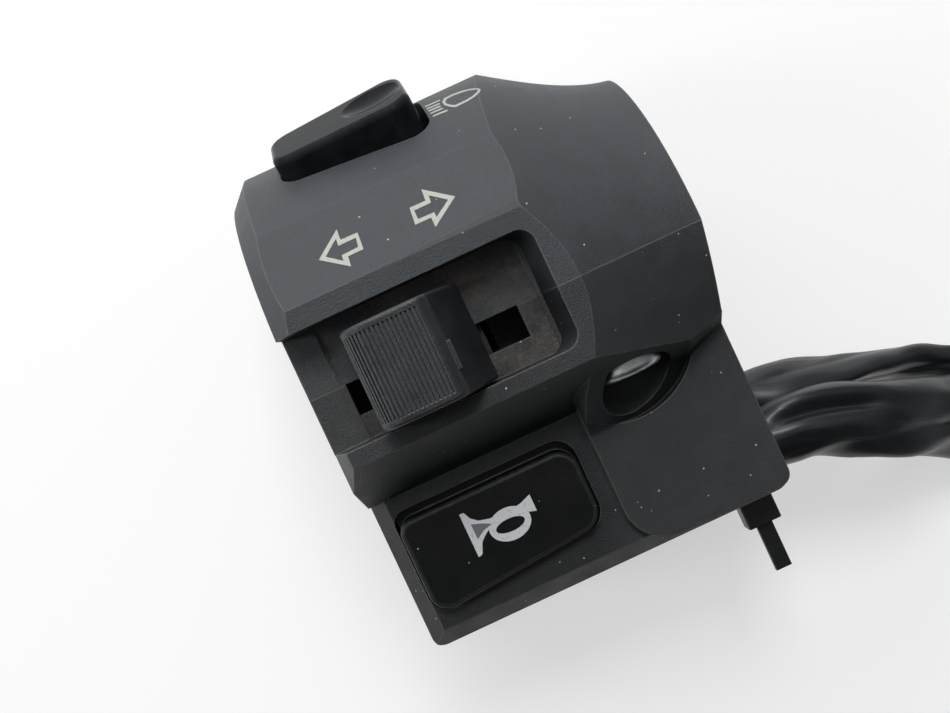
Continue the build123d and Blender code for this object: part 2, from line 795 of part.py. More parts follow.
def turn_knob():
    """The ribbed thumb knob, hollow behind its face, on a stem through the slot
    and a pin that the circlip holds under the slider."""
    left = slot_middle_x - knob_left_reach
    right = slot_middle_x + knob_right_reach
    top = knob_base + knob_depth
    outline = [
        (left, knob_base),
        (left, top),
        (right - knob_flank_width, top),
        (right, top - knob_flank_drop),
        (right, knob_base),
    ]
    y_range = (knob_bottom, knob_bottom + knob_height)
    body = prism_along_y(outline, y_range)
    edges = [edge for edge in body.edges().filter_by(Axis.Y) if edge.center().Z > top - knob_wall]
    edges.sort(key=lambda edge: edge.center().X)
    body = fillet(edges[:1], knob_left_round)
    edges = [edge for edge in body.edges().filter_by(Axis.Y)
             if edge.center().Z > top - knob_wall and edge.center().X > slot_middle_x]
    body = fillet(edges, knob_right_round)
    ends = [edge for edge in body.edges() if edge.center().Z > knob_base + knob_wall / 2
            and (edge.center().Y < y_range[0] + knob_edge_round / 2
                 or edge.center().Y > y_range[1] - knob_edge_round / 2)]
    body = fillet(ends, knob_edge_round)
    middle_y = (y_range[0] + y_range[1]) / 2
    length = knob_height - 2 * knob_rim
    grooves = []
    for x, z, turn in knob_rib_places(left, right - knob_flank_width - rib_margin, top):
        grooves.append(Pos(x, middle_y, z) * Rot(0, turn, 0) * Box(rib_groove, length, 2 * rib_depth))
    body = body.cut(*grooves)
    wall = knob_wall
    hollow = [
        (left + wall, knob_base - cut_overrun),
        (left + wall, top - 2 * wall),
        (left + 2 * wall, top - wall),
        (right - knob_flank_width - wall / 2, top - wall),
        (right - wall, top - knob_flank_drop),
        (right - wall, knob_base - cut_overrun),
    ]
    body -= prism_along_y(hollow, (y_range[0] + wall, y_range[1] - wall))
    stem_y = slot_height / 2 - stem_gap
    body += block((slot_middle_x - stem_width / 2, slot_middle_x + stem_width / 2),
                  (slot_middle_y - stem_y, slot_middle_y + stem_y), (stem_end, top - wall / 2))
    centre = (slot_middle_x, slot_middle_y)
    clip_bottom = slider_bottom - clip_thickness
    body += rod("Z", centre, pin_radius, (clip_bottom - pin_tip, stem_end))
    groove = rod("Z", centre, pin_radius + cut_overrun, (clip_bottom, slider_bottom))
    body -= groove - rod("Z", centre, clip_inner_radius, (clip_bottom, slider_bottom))
    return body


def knob_rib_places(left, start, top):
    """Places and turns of the grooves, from the flank over the round to the left side."""
    flat = start - left - knob_left_round
    bend = pi * knob_left_round / 2
    places = []
    for k in range(rib_count):
        run = rib_pitch * (k + 0.5)
        if run < flat:
            places.append((start - run, top, 0))
        elif run < flat + bend:
            turn = (run - flat) / knob_left_round
            places.append((left + knob_left_round - knob_left_round * sin(turn),
                           top - knob_left_round + knob_left_round * cos(turn), -turn * 180 / pi))
        else:
            places.append((left, top - knob_left_round - (run - flat - bend), -90))
    return places


def turn_clip():
    """Circlip on the knob's pin, under the slider."""
    centre = (slot_middle_x, slot_middle_y)
    span = (slider_bottom - clip_thickness, slider_bottom)
    clip = rod("Z", centre, clip_radius, span) - rod("Z", centre, clip_inner_radius, span)
    half = clip_inner_radius / 2
    return clip - block((slot_middle_x, slot_middle_x + clip_radius * 2),
                        (slot_middle_y - half, slot_middle_y + half), span)


def turn_slider():
    """Carriage that the knob's stem sits in, hung by its wings on the base's rails."""
    x_range = (slot_middle_x - slider_length / 2, slot_middle_x + slider_length / 2)
    low = slot_middle_y - slider_half_width
    high = slot_middle_y + slider_half_width
    body = block(x_range, (low, high), (slider_bottom, slider_top))
    body += block(x_range, (low - slider_wing, high + slider_wing), (wing_bottom, slider_top))
    floor = slider_bottom + slider_floor
    half_x = stem_width / 2 + exit_gap
    half_y = slot_height / 2 - stem_gap + exit_gap
    body -= block((slot_middle_x - half_x, slot_middle_x + half_x),
                  (slot_middle_y - half_y, slot_middle_y + half_y), (floor, slider_top + cut_overrun))
    centre = (slot_middle_x, slot_middle_y)
    bore = push_spring_radius + push_spring_wire / 2 + slide_gap
    body -= rod("Z", centre, bore, (floor, slider_top + cut_overrun))
    body -= rod("Z", centre, pin_radius + pin_clearance, (slider_bottom - cut_overrun, floor + cut_overrun))
    body -= rod("Y", (detent_x, detent_z), detent_ball_radius + pin_clearance,
                (high - detent_bore_depth, high + cut_overrun))
    return body


def turn_push_spring():
    """Spring that holds the knob out against its circlip."""
    return spring_along_z((slot_middle_x, slot_middle_y), (slider_bottom + slider_floor, stem_end),
                          push_spring_radius, push_spring_wire, push_spring_turns)


def turn_bridge():
    """Moving contact strip under the slider."""
    half = slider_half_width - contact_inset + contact_radius
    strip = block((slot_middle_x - bridge_length / 2, slot_middle_x + bridge_length / 2),
                  (slot_middle_y - half, slot_middle_y + half),
                  (slider_bottom - bridge_thickness, slider_bottom))
    return strip - rod("Z", (slot_middle_x, slot_middle_y), clip_radius + slide_gap,
                       (slider_bottom - cut_overrun, slider_bottom + cut_overrun))


def turn_detent_ball():
    """Ball that marks the turn switch's three places."""
    return Pos(detent_x, detent_y, detent_z) * Sphere(detent_ball_radius)


def turn_detent_spring():
    """Spring behind the detent ball."""
    seat = slot_middle_y + slider_half_width - detent_bore_depth
    length = detent_y - detent_ball_radius - seat
    coil = spring_along_z((0, 0), (0, length), detent_spring_radius, detent_spring_wire,
                          detent_spring_turns)
    return Pos(detent_x, seat, detent_z) * Rot(-90, 0, 0) * coil


def turn_base():
    """Contact base of the turn switch: plate, two rails, end stops and two ears."""
    half_x = slider_length / 2 + turn_travel + running_gap + turn_end_wall
    left = slot_middle_x - half_x
    right = slot_middle_x + half_x
    bottom = turn_base_top - turn_base_thickness
    low = slot_middle_y - rail_outer
    high = slot_middle_y + rail_outer
    base = block((left, right), (low, high), (bottom, wing_bottom))
    base -= block((left + turn_end_wall, right - turn_end_wall),
                  (slot_middle_y - rail_inner, slot_middle_y + rail_inner),
                  (turn_base_top, wing_bottom + cut_overrun))
    for x_range in ((left, left + turn_end_wall), (right - turn_end_wall, right)):
        base += block(x_range, (low, high), (bottom, slider_top))
    slot_half = clip_radius + slide_gap
    base -= block((slot_middle_x - turn_travel - slot_half, slot_middle_x + turn_travel + slot_half),
                  (slot_middle_y - slot_half, slot_middle_y + slot_half),
                  (bottom - cut_overrun, turn_base_top + exit_gap))
    groove = detent_ball_radius + detent_groove_gap
    base -= rod("X", (detent_y, detent_z), groove,
                (detent_x - turn_travel - groove, detent_x + turn_travel + groove))
    for x in turn_post_places:
        base += block((x - small_post_radius, x + small_post_radius),
                      (turn_post_y - small_post_radius, low), (bottom, turn_base_top))
        base -= rod("Z", (x, turn_post_y), small_screw_radius + thread_gap,
                    (bottom - cut_overrun, turn_base_top + cut_overrun))
    for place in contact_places:
        base -= rod("Z", place, contact_radius, (bottom - cut_overrun, turn_base_top + contact_dome))
    return base


def rivet(place, radius, z_range):
    """A contact rivet along Z with a rounded top."""
    body = rod("Z", place, radius, z_range)
    return fillet(body.edges().sort_by(Axis.Z)[-1:], radius / 2)


def turn_contacts():
    """Fixed contacts of the turn switch, in pairs either side of the pin's slot."""
    return Compound(children=[rivet(place, contact_radius,
                                    (turn_base_top - contact_tail, turn_base_top + contact_dome))
                              for place in contact_places])


def small_screw(seat, thickness):
    """A small pan screw driven towards +Z through a plate of this thickness."""
    head = rod("Z", (0, 0), small_screw_head, (seat - small_screw_head_height, seat))
    slot = small_screw_slot / 2
    depth = small_screw_head_height / 2
    head -= block((-small_screw_head, small_screw_head), (-slot, slot),
                  (seat - small_screw_head_height, seat - depth))
    return head + rod("Z", (0, 0), small_screw_radius,
                      (seat, seat + thickness + small_screw_reach - screw_tip_gap))


def turn_base_screws():
    """Screws that hold the turn switch's base to the posts behind the rim."""
    screw = small_screw(turn_base_top - turn_base_thickness, turn_base_thickness)
    return Compound(children=[Pos(x, turn_post_y, 0) * screw for x in turn_post_places])


def horn_button():
    """The horn push: a skirted cap with a retaining flange and a guide post."""
    stop = panel_inner_height
    foot = stop - horn_flange_thickness
    cap = horn_prism(0, 0, (foot, horn_face_height))
    cap = fillet(cap.faces().sort_by(Axis.Z)[-1].edges(), horn_edge_round)
    flange = horn_prism(horn_side_gap + horn_flange, horn_top_gap + horn_flange, (foot, stop))
    flange &= block((horn_left, right_x), (-wide_cut, 0), (foot, stop))
    cap += flange
    cap -= horn_prism(-horn_skirt, -horn_skirt, (foot - cut_overrun, horn_face_height - horn_roof))
    return cap + rod("Z", (horn_middle_x, horn_middle_y), horn_post_radius,
                     (horn_base_height + horn_post_gap, horn_face_height - horn_roof / 2))


def horn_spring():
    """Return spring of the horn push."""
    return spring_along_z((horn_middle_x, horn_middle_y), (horn_base_height, horn_face_height - horn_roof),
                          horn_spring_radius, horn_spring_wire, horn_spring_turns)


def horn_contact_plate():
    """Moving contact under the horn push, on two legs from its roof."""
    top = horn_plate_height + horn_plate_thickness
    plate = block((horn_middle_x - horn_plate_reach, horn_middle_x + horn_plate_reach),
                  (horn_middle_y - horn_plate_width / 2, horn_middle_y + horn_plate_width / 2),
                  (horn_plate_height, top))
    plate -= rod("Z", (horn_middle_x, horn_middle_y), horn_plate_hole, (0, horn_face_height))
    for side in (-1, 1):
        plate += rod("Z", (horn_middle_x + side * horn_leg_spread, horn_middle_y), horn_leg_radius,
                     (horn_plate_height, horn_face_height - horn_roof))
    return plate


def horn_base():
    """Contact base of the horn push, on a ledge at the left and two posts at the right."""
    low = horn_post_places[1] - small_post_radius
    high = horn_post_places[0] + small_post_radius
    base = block((left_x + end_wall + running_gap, horn_base_right), (low, high),
                 (horn_base_bottom, horn_base_height))
    span = (horn_base_bottom - cut_overrun, horn_base_height + cut_overrun)
    base -= rod("Z", (horn_middle_x, horn_middle_y), horn_post_radius + horn_hole_gap, span)
    for y in horn_post_places:
        base -= rod("Z", (horn_pillar_x, y), small_screw_radius + thread_gap, span)
    for place in horn_contact_places:
        base -= rod("Z", place, horn_rivet_radius, span)
    return base


def horn_contacts():
    """Fixed contacts of the horn push."""
    return Compound(children=[rivet(place, horn_rivet_radius,
                                    (horn_base_bottom - horn_rivet_tail, horn_base_height + horn_rivet_rise))
                              for place in horn_contact_places])


def horn_base_screws():
    """Screws that hold the horn push's base to its posts."""
    screw = small_screw(horn_base_bottom, horn_base_thickness)
    return Compound(children=[Pos(horn_pillar_x, y, 0) * screw for y in horn_post_places])


def in_rocker(shape):
    """Places a shape drawn about the level rocker at the rocker's rest tilt."""
    tilted = Pos(0, dimmer_pivot_height, 0) * Rot(0, 0, dimmer_rest_tilt) * Pos(0, -dimmer_pivot_height, 0)
    return in_dimmer(tilted * shape)


def dimmer_lever():
    """The glossy rocker: a skirted cap with a finger dish, a hub and a plunger tube."""
    cap = dimmer_prism(0, 0, (dimmer_skirt_height, dimmer_face_height))
    cap = fillet(cap.faces().sort_by(Axis.Y)[-1].edges(), dimmer_edge_round)
    cap -= Pos(dimmer_dish_place, dimmer_face_height + dimmer_dish_radius - dimmer_dish_depth,
               0) * Sphere(dimmer_dish_radius)
    roof = dimmer_face_height - dimmer_roof
    cap -= dimmer_prism(-dimmer_skirt, -dimmer_skirt, (dimmer_skirt_height - cut_overrun, roof))
    half_hub = dimmer_hub_width / 2
    half_tube = dimmer_tube_width / 2
    cap += block((-half_tube, half_tube), (dimmer_tube_end, roof + dimmer_roof / 2), (-half_hub, half_hub))
    cap += rod("Z", (0, dimmer_pivot_height), dimmer_hub_radius, (-half_hub, half_hub))
    cap -= rod("Z", (0, dimmer_pivot_height), dimmer_pin_radius + pin_clearance,
               (-half_hub - cut_overrun, half_hub + cut_overrun))
    cap -= rod("Y", (0, 0), dimmer_plunger_radius + pin_clearance,
               (dimmer_tube_end - cut_overrun, plunger_top + dimmer_plunger_spring))
    return in_rocker(cap)


def dimmer_pin():
    """Pivot pin of the rocker, held in the base's cheeks."""
    return in_dimmer(rod("Z", (0, dimmer_pivot_height), dimmer_pin_radius, (-cheek_outer, cheek_outer)))


def dimmer_plunger():
    """Round-nosed plunger that throws the see-saw contact."""
    body = rod("Y", (0, 0), dimmer_plunger_radius, (plunger_tip, plunger_top))
    body = fillet(body.edges().sort_by(Axis.Y)[:1], dimmer_plunger_radius * 2 / 3)
    return in_rocker(body)


def dimmer_spring():
    """Spring behind the plunger, up the rocker's tube."""
    coil = spring_along_z((0, 0), (0, dimmer_plunger_spring), dimmer_spring_radius,
                          dimmer_spring_wire, dimmer_spring_turns)
    return in_rocker(Pos(0, plunger_top, 0) * Rot(-90, 0, 0) * coil)


def dimmer_seesaw():
    """Rocking contact strip on the base's ridge."""
    strip = block((-dimmer_seesaw_length / 2, dimmer_seesaw_length / 2), (0, dimmer_seesaw_thickness),
                  (-dimmer_seesaw_width / 2, dimmer_seesaw_width / 2))
    turn = Rot(0, 0, dimmer_rest_tilt * dimmer_seesaw_ratio)
    return in_dimmer(Pos(0, dimmer_seesaw_height, 0) * turn * strip)


def dimmer_base():
    """Contact base of the dimmer: plate with ears, cheeks for the pin and a ridge."""
    half = dimmer_base_length / 2
    half_w = cheek_outer + dimmer_base_margin
    base = block((-half, half), (dimmer_base_height, dimmer_ear_top), (-half_w, half_w))
    for w_range in ((-cheek_outer, -cheek_inner), (cheek_inner, cheek_outer)):
        base += block((-dimmer_cheek_half, dimmer_cheek_half), (dimmer_base_height, dimmer_cheek_top),
                      w_range)
    ridge = [
        (-dimmer_ridge_half, dimmer_ear_top - dimmer_ridge_gap),
        (0, dimmer_seesaw_height - dimmer_ridge_gap),
        (dimmer_ridge_half, dimmer_ear_top - dimmer_ridge_gap),
    ]
    base += prism_along_z(ridge, (-dimmer_seesaw_width / 2, dimmer_seesaw_width / 2))
    for x in dimmer_post_places:
        base += block((x - small_post_radius, x + small_post_radius), (dimmer_base_height, dimmer_ear_top),
                      (dimmer_ear_w - small_post_radius, -half_w))
        base -= rod("Y", (x, dimmer_ear_w), small_screw_radius + thread_gap,
                    (dimmer_base_height - cut_overrun, dimmer_ear_top + cut_overrun))
    for side in (-1, 1):
        base -= rod("Y", (side * dimmer_contact_spread, 0), dimmer_rivet_radius,
                    (dimmer_base_height - cut_overrun, dimmer_ear_top + cut_overrun))
    base -= rod("Z", (0, dimmer_pivot_height), dimmer_pin_radius, (-half_w, half_w))
    return in_dimmer(base)


def dimmer_contacts():
    """Fixed contacts under the see-saw's ends."""
    rivets = []
    for side in (-1, 1):
        body = rod("Y", (side * dimmer_contact_spread, 0), dimmer_rivet_radius,
                   (dimmer_base_height - dimmer_rivet_tail, dimmer_ear_top + dimmer_rivet_rise))
        body = fillet(body.edges().sort_by(Axis.Y)[-1:], dimmer_rivet_rise / 2)
        rivets.append(in_dimmer(body))
    return Compound(children=rivets)


def dimmer_base_screws():
    """Screws that hold the dimmer's base up to the posts in the upper half."""
    screw = Rot(-90, 0, 0) * small_screw(dimmer_base_height, dimmer_base_thickness)
    return Compound(children=[in_dimmer(Pos(x, 0, dimmer_ear_w) * screw) for x in dimmer_post_places])


def hull_prism(first, first_radius, second, second_radius, x_range):
    """A prism along X round two circles and the straight flanks between them."""
    dy = second[0] - first[0]
    dz = second[1] - first[1]
    apart = sqrt(dy ** 2 + dz ** 2)
    fall = (first_radius - second_radius) / apart
    side = sqrt(1 - fall ** 2)
    flanks = []
    for turn in (1, -1):
        ny = (dy * fall - turn * dz * side) / apart
        nz = (dz * fall + turn * dy * side) / apart
        flanks.append(((first[0] + ny * first_radius, first[1] + nz * first_radius),
                       (second[0] + ny * second_radius, second[1] + nz * second_radius)))
    quad = [flanks[0][0], flanks[0][1], flanks[1][1], flanks[1][0]]
    return (prism_along_x(quad, x_range) + rod("X", first, first_radius, x_range)
            + rod("X", second, second_radius, x_range))


def cable_tie():
    """Tie round both sleeves inside the block, its head and tail hanging out below."""
    x_range = (tie_middle_x - tie_width / 2, tie_middle_x + tie_width / 2)
    radius_a = sleeve_a_diameter / 2
    radius_b = sleeve_b_diameter / 2
    band = hull_prism(sleeve_a_exit, radius_a + tie_thickness, sleeve_b_exit, radius_b + tie_thickness,
                      x_range)
    head_top = -block_drop - tie_head_gap
    head_end = head_top - tie_head_drop
    band += block(x_range, (head_top, sleeve_b_exit[0]), (tie_strap_z, tie_strap_z + tie_thickness))
    band -= hull_prism(sleeve_a_exit, radius_a, sleeve_b_exit, radius_b,
                       (x_range[0] - cut_overrun, x_range[1] + cut_overrun))
    middle_z = tie_strap_z + tie_thickness / 2
    half = tie_head_width / 2
    head = block((tie_middle_x - half, tie_middle_x + half), (head_end, head_top),
                 (middle_z - tie_head_depth / 2, middle_z + tie_head_depth / 2))
    head = fillet(head.edges().filter_by(Axis.Y), tie_thickness / 2)
    tail = block(x_range, (head_end - tie_tail_length, head_end),
                 (tie_strap_z, tie_strap_z + tie_thickness))
    return band + head + tail


def bend_radii(points):
    """A bend radius for each inner point, from its turn and its shorter run."""
    radii = []
    for before, here, after in zip(points, points[1:], points[2:]):
        first = [b - a for a, b in zip(before, here)]
        second = [b - a for a, b in zip(here, after)]
        one = sqrt(sum(v * v for v in first))
        two = sqrt(sum(v * v for v in second))
        cosine = sum(a * b for a, b in zip(first, second)) / (one * two)
        half_tan = sqrt((1 - cosine) / (1 + cosine))
        radii.append(min(one, two) * bend_share / half_tan)
    return radii


def lead(route, diameter):
    """A sleeve's free stretch, from its end inside the block to its coil."""
    start = (block_right - sleeve_inside, route[0][1], route[0][2])
    points = [start] + route[1:]
    radii = bend_radii(points)
    print("bend radii over diameter", [round(radius / diameter, 1) for radius in radii])
    path = FilletPolyline(*points, radius=radii)
    section = Plane(origin=path @ 0, z_dir=path % 0) * Circle(diameter / 2)
    return sweep(section, path=path)


def in_coil(along, across, height):
    """A point given along and across the coil's heading."""
    turn = radians(coil_heading)
    return (along * cos(turn) - across * sin(turn), along * sin(turn) + across * cos(turn), height)


def on_coil(arc, share, height):
    """A place some share of the way along an arc of a coil, angles in degrees."""
    centre, radius, start, turn = arc
    angle = radians(start + turn * share)
    return in_coil(centre[0] + radius * cos(angle), centre[1] + radius * sin(angle), height)


def coil(arcs, end, diameter):
    """A put-away coil: arcs on the floor and a straight run into the connector."""
    height = floor_z + diameter / 2
    edges = []
    places = []
    travelled = 0
    begin = on_coil(arcs[0], 0, height)
    for arc in arcs:
        finish = on_coil(arc, 1, height)
        edges.append(ThreePointArc(begin, on_coil(arc, 1 / 2, height), finish))
        for step in range(coil_checks):
            places.append((travelled + step / coil_checks * edges[-1].length,
                           on_coil(arc, step / coil_checks, height)))
        travelled += edges[-1].length
        begin = finish
    edges.append(Line(begin, Vector(*begin) + (edges[-1] % 1) * end))
    gap = min(dist(one, other) for along, one in places for further, other in places
              if further - along > diameter * coil_apart) - diameter
    print("coil", diameter, "least gap between its turns", round(gap, 2))
    path = Wire(edges)
    section = Plane(origin=path @ 0, z_dir=path % 0) * Circle(diameter / 2)
    return sweep(section, path=path)


outer_centre = (coil_along, coil_across + coil_radius)
inner_centre = (coil_along, coil_across + coil_radius + coil_step)
arcs_a = [
    (outer_centre, coil_radius, -90, 180),
    (inner_centre, coil_radius - coil_step, 90, 180),
]
arcs_b = [
    (outer_centre, coil_radius + coil_step, -90, 180),
    (inner_centre, coil_radius, 90, 90),
]


def connector(place, heading, end_run):
    """Where a connector's back face is and which way it looks."""
    x, y, z = in_coil(place[0], place[1], floor_z)
    turn = Pos(x, y, z) * Rot(0, 0, coil_heading + heading)
    return turn * Pos(end_run, 0, 0)


def connector_places():
    """Frames of the two connectors, at the ends of their coils."""
    inner_end = (coil_along, inner_centre[1] - coil_radius + coil_step)
    outer_end = (coil_along - coil_radius, inner_centre[1])
    return [connector(inner_end, 0, end_run_a), connector(outer_end, -90, end_run_b)]


def connector_shell():
    """A connector housing with a latch on top, open at its front."""
    half = connector_width / 2
    shell = block((0, connector_length), (-half, half), (0, connector_height))
    shell = fillet(shell.edges().filter_by(Axis.X), connector_wall / 2)
    inset = half - connector_wall
    shell -= block((connector_length - connector_mouth, connector_length + cut_overrun), (-inset, inset),
                   (connector_wall, connector_height - connector_wall))
    half_latch = connector_latch_width / 2
    middle = connector_length / 2
    return shell + block((middle - connector_latch_length / 2, middle + connector_latch_length / 2),
                         (-half_latch, half_latch), (connector_height - connector_wall / 2,
                                                     connector_height + connector_latch_rise))


def connector_housings():
    """The plug housings on the ends of both sleeves."""
    shell = connector_shell()
    return Compound(children=[frame * shell for frame in connector_places()])


def connector_terminals():
    """Blade terminals standing in the plugs' mouths."""
    back = connector_length - connector_mouth
    half = terminal_width / 2
    blades = []
    for frame in connector_places():
        for row in (-1, 1):
            for column in range(terminal_columns):
                y = (column - (terminal_columns - 1) / 2) * terminal_pitch
                z = connector_height / 2 + row * terminal_pitch / 2
                blades.append(frame * block((back, back + terminal_length), (y - half, y + half),
                                            (z - half, z + half)))
    return Compound(children=blades)


def coil_tie():
    """Band round both coils where they run side by side, on the floor with them."""
    radius_a = sleeve_a_diameter / 2
    radius_b = sleeve_b_diameter / 2
    place_a = (outer_centre[0] + coil_radius, outer_centre[1])
    span = (-coil_tie_width / 2, coil_tie_width / 2)
    lift = coil_tie_thickness
    grip = coil_tie_grip / 2
    outer = hull_prism((0, radius_a + lift), radius_a + lift, (-coil_step, radius_b + lift),
                       radius_b + lift, span)
    inner = hull_prism((0, radius_a + grip), radius_a - grip, (-coil_step, radius_b + grip),
                       radius_b - grip, (span[0] - cut_overrun, span[1] + cut_overrun))
    x, y, z = in_coil(place_a[0], place_a[1], floor_z)
    return Pos(x, y, z) * Rot(0, 0, coil_heading + 90) * (outer - inner)


parts = {
    "upper_housing": upper_housing(),
    "lower_housing": lower_housing(),
    "housing_screws": housing_screws(),
    "housing_inserts": housing_inserts(),
    "turn_knob": turn_knob(),
    "turn_clip": turn_clip(),
    "turn_slider": turn_slider(),
    "turn_push_spring": turn_push_spring(),
    "turn_bridge": turn_bridge(),
    "turn_detent_ball": turn_detent_ball(),
    "turn_detent_spring": turn_detent_spring(),
    "turn_base": turn_base(),
    "turn_contacts": turn_contacts(),
    "turn_base_screws": turn_base_screws(),
    "horn_button": horn_button(),
    "horn_spring": horn_spring(),
    "horn_contact_plate": horn_contact_plate(),
    "horn_base": horn_base(),
    "horn_contacts": horn_contacts(),
    "horn_base_screws": horn_base_screws(),
    "dimmer_lever": dimmer_lever(),
    "dimmer_pin": dimmer_pin(),
    "dimmer_plunger": dimmer_plunger(),
    "dimmer_spring": dimmer_spring(),
    "dimmer_seesaw": dimmer_seesaw(),
    "dimmer_base": dimmer_base(),
    "dimmer_contacts": dimmer_contacts(),
    "dimmer_base_screws": dimmer_base_screws(),
    "cable_tie": cable_tie(),
    "sleeve_a_lead": lead(sleeve_a_route, sleeve_a_diameter),
    "sleeve_b_lead": lead(sleeve_b_route, sleeve_b_diameter),
    "sleeve_a_coil": coil(arcs_a, end_run_a, sleeve_a_diameter),
    "sleeve_b_coil": coil(arcs_b, end_run_b, sleeve_b_diameter),
    "connector_housings": connector_housings(),
    "connector_terminals": connector_terminals(),
    "coil_tie": coil_tie(),
}

for name, shape in parts.items():
    box = shape.bounding_box()
    print(name, "solids", len(shape.solids()), "volume", round(shape.volume, 1),
          [round(v, 2) for v in (*box.min, *box.max)])
    export_step(shape, "parts/" + name + ".step")
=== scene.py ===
# %% [markdown]
# # Dressing a handlebar switch cluster
# The CAD part holds every rigid piece at its real size: two housing halves, a ribbed turn
# knob, a horn button, a dimmer rocker, screws and the switches inside. This lesson puts a
# camera, soft sleeves, printed signs and finishes round it, and moves nothing of the CAD.

import json
import math

import bmesh
import bpy
import numpy as np
from mathutils import Matrix


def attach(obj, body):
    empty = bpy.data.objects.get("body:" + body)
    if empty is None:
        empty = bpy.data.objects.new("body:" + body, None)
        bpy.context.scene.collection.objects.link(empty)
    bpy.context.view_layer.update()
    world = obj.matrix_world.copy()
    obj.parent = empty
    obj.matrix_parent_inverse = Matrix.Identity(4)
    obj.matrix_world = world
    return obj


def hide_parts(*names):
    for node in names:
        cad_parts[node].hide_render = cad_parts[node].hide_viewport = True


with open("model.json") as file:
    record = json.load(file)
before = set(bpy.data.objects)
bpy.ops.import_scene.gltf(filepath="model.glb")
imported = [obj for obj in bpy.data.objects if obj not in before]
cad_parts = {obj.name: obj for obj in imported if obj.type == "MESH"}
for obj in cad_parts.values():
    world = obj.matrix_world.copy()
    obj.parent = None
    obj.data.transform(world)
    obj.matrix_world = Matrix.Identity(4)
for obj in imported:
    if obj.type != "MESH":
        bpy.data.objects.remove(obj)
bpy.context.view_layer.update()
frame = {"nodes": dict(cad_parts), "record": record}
MM = 0.001
nodes = frame["nodes"]

# %% [markdown]
# ## The camera
# The cluster lies on its flat back, so the floor's normal is the part's Z, and the picture was
# taken from almost straight above at about 20 cm. Three directions fix such a camera: where it
# looks, what is right in the picture and what is up. The picture is turned by 25 degrees
# against the handlebar, and the camera leans a little towards the rider's knee.

# %% Camera
picture_turn = math.radians(25.0)
camera_lean = math.radians(1.25)
camera_place = np.array([-6.2, 0.0, 200.0]) * MM
lens_in_pixels = 1336.0
picture_width = 950.0


def camera_axes(turn, lean):
    """Right, up and backward directions: turned about Z first, then leaned towards minus Y."""
    back = np.array([0.0, math.sin(lean), math.cos(lean)])
    level_up = np.array([0.0, math.cos(lean), -math.sin(lean)])
    level_right = np.array([1.0, 0.0, 0.0])
    right = level_right * math.cos(turn) - level_up * math.sin(turn)
    up = level_right * math.sin(turn) + level_up * math.cos(turn)
    return right, up, back


camera_data = bpy.data.cameras.new("camera")
camera_data.sensor_width = 36.0
camera_data.lens = camera_data.sensor_width * lens_in_pixels / picture_width
camera = bpy.data.objects.new("camera", camera_data)
bpy.context.scene.collection.objects.link(camera)
camera_matrix = np.eye(4)
camera_matrix[:3, :3] = np.stack(camera_axes(picture_turn, camera_lean), axis=1)
camera_matrix[:3, 3] = camera_place
camera.matrix_world = Matrix(camera_matrix.tolist())
camera_data.clip_start = 0.005
bpy.context.scene.camera = camera
bpy.context.scene.view_settings.view_transform = "Standard"
print("lens", round(camera_data.lens, 2), "mm")

# %% [markdown]
# ## Two tools for every new surface
# Each new piece is a grid of points worked out with numpy: one direction runs along the piece
# and the other across or round it. One function turns such a grid into a closed mesh, and
# writes how far each corner is along and round it, in metres, as the piece's UV map.

# %% Grid to mesh
def grid_faces(rows, columns, wrap):
    """Corner numbers of each quad: (row, column), then the next row, both, and the next column."""
    last = columns if wrap else columns - 1
    row, column = np.meshgrid(np.arange(rows - 1), np.arange(last), indexing="ij")
    corner_rows = np.stack([row, row + 1, row + 1, row], axis=-1)
    corner_columns = np.stack([column, column, column + 1, column + 1], axis=-1)
    return corner_rows.reshape(-1, 4), corner_columns.reshape(-1, 4)


def grid_piece(name, points, across=None, along=None):
    """A tube from a (rows, columns, 3) grid that closes on itself round its columns, with a flat
    cap at each end made of a fan about the end ring's middle. The grid's rows go along and its
    columns go round, anticlockwise as seen from the far end."""
    rows, columns = points.shape[:2]
    corner_rows, corner_columns = grid_faces(rows, columns, True)
    quads = corner_rows * columns + corner_columns % columns
    middles = points[[0, -1]].mean(axis=1)
    ring = np.arange(columns)
    start_cap = np.stack([np.full(columns, rows * columns), np.roll(ring, -1), ring], axis=1)
    end_ring = ring + (rows - 1) * columns
    end_cap = np.stack([np.full(columns, rows * columns + 1), end_ring, np.roll(end_ring, -1)], axis=1)
    mesh = bpy.data.meshes.new(name)
    everything = np.concatenate([points.reshape(-1, 3), middles])
    mesh.from_pydata(everything.tolist(), [], quads.tolist() + start_cap.tolist() + end_cap.tolist())
    if along is not None:
        layer = mesh.uv_layers.new(name="UVMap")
        walls = np.stack([along[corner_rows], across[corner_columns]], axis=-1).reshape(-1, 2)
        caps = np.zeros((6 * columns, 2))
        layer.data.foreach_set("uv", np.concatenate([walls, caps]).astype(np.float32).ravel())
    mesh.polygons.foreach_set("use_smooth", np.ones(len(mesh.polygons), bool))
    mesh.update()
    piece = bpy.data.objects.new(name, mesh)
    bpy.context.scene.collection.objects.link(piece)
    return piece


# %% [markdown]
# ## Colour helpers and shared effects
# Moulded plastic is never one flat colour. It has a fine spark-eroded grain, edges that are
# rubbed paler, and dust. Each of these is a node group with named inputs and outputs, built
# once and placed in every material that needs it, with its own values.

# %% Node helpers
def add(tree, kind, inputs=None, **settings):
    """A node of this kind, with its settings and its sockets' values or links."""
    node = tree.nodes.new(kind)
    for key, value in settings.items():
        setattr(node, key, value)
    for key, value in (inputs or {}).items():
        if isinstance(value, bpy.types.NodeSocket):
            tree.links.new(value, node.inputs[key])
        else:
            node.inputs[key].default_value = value
    return node


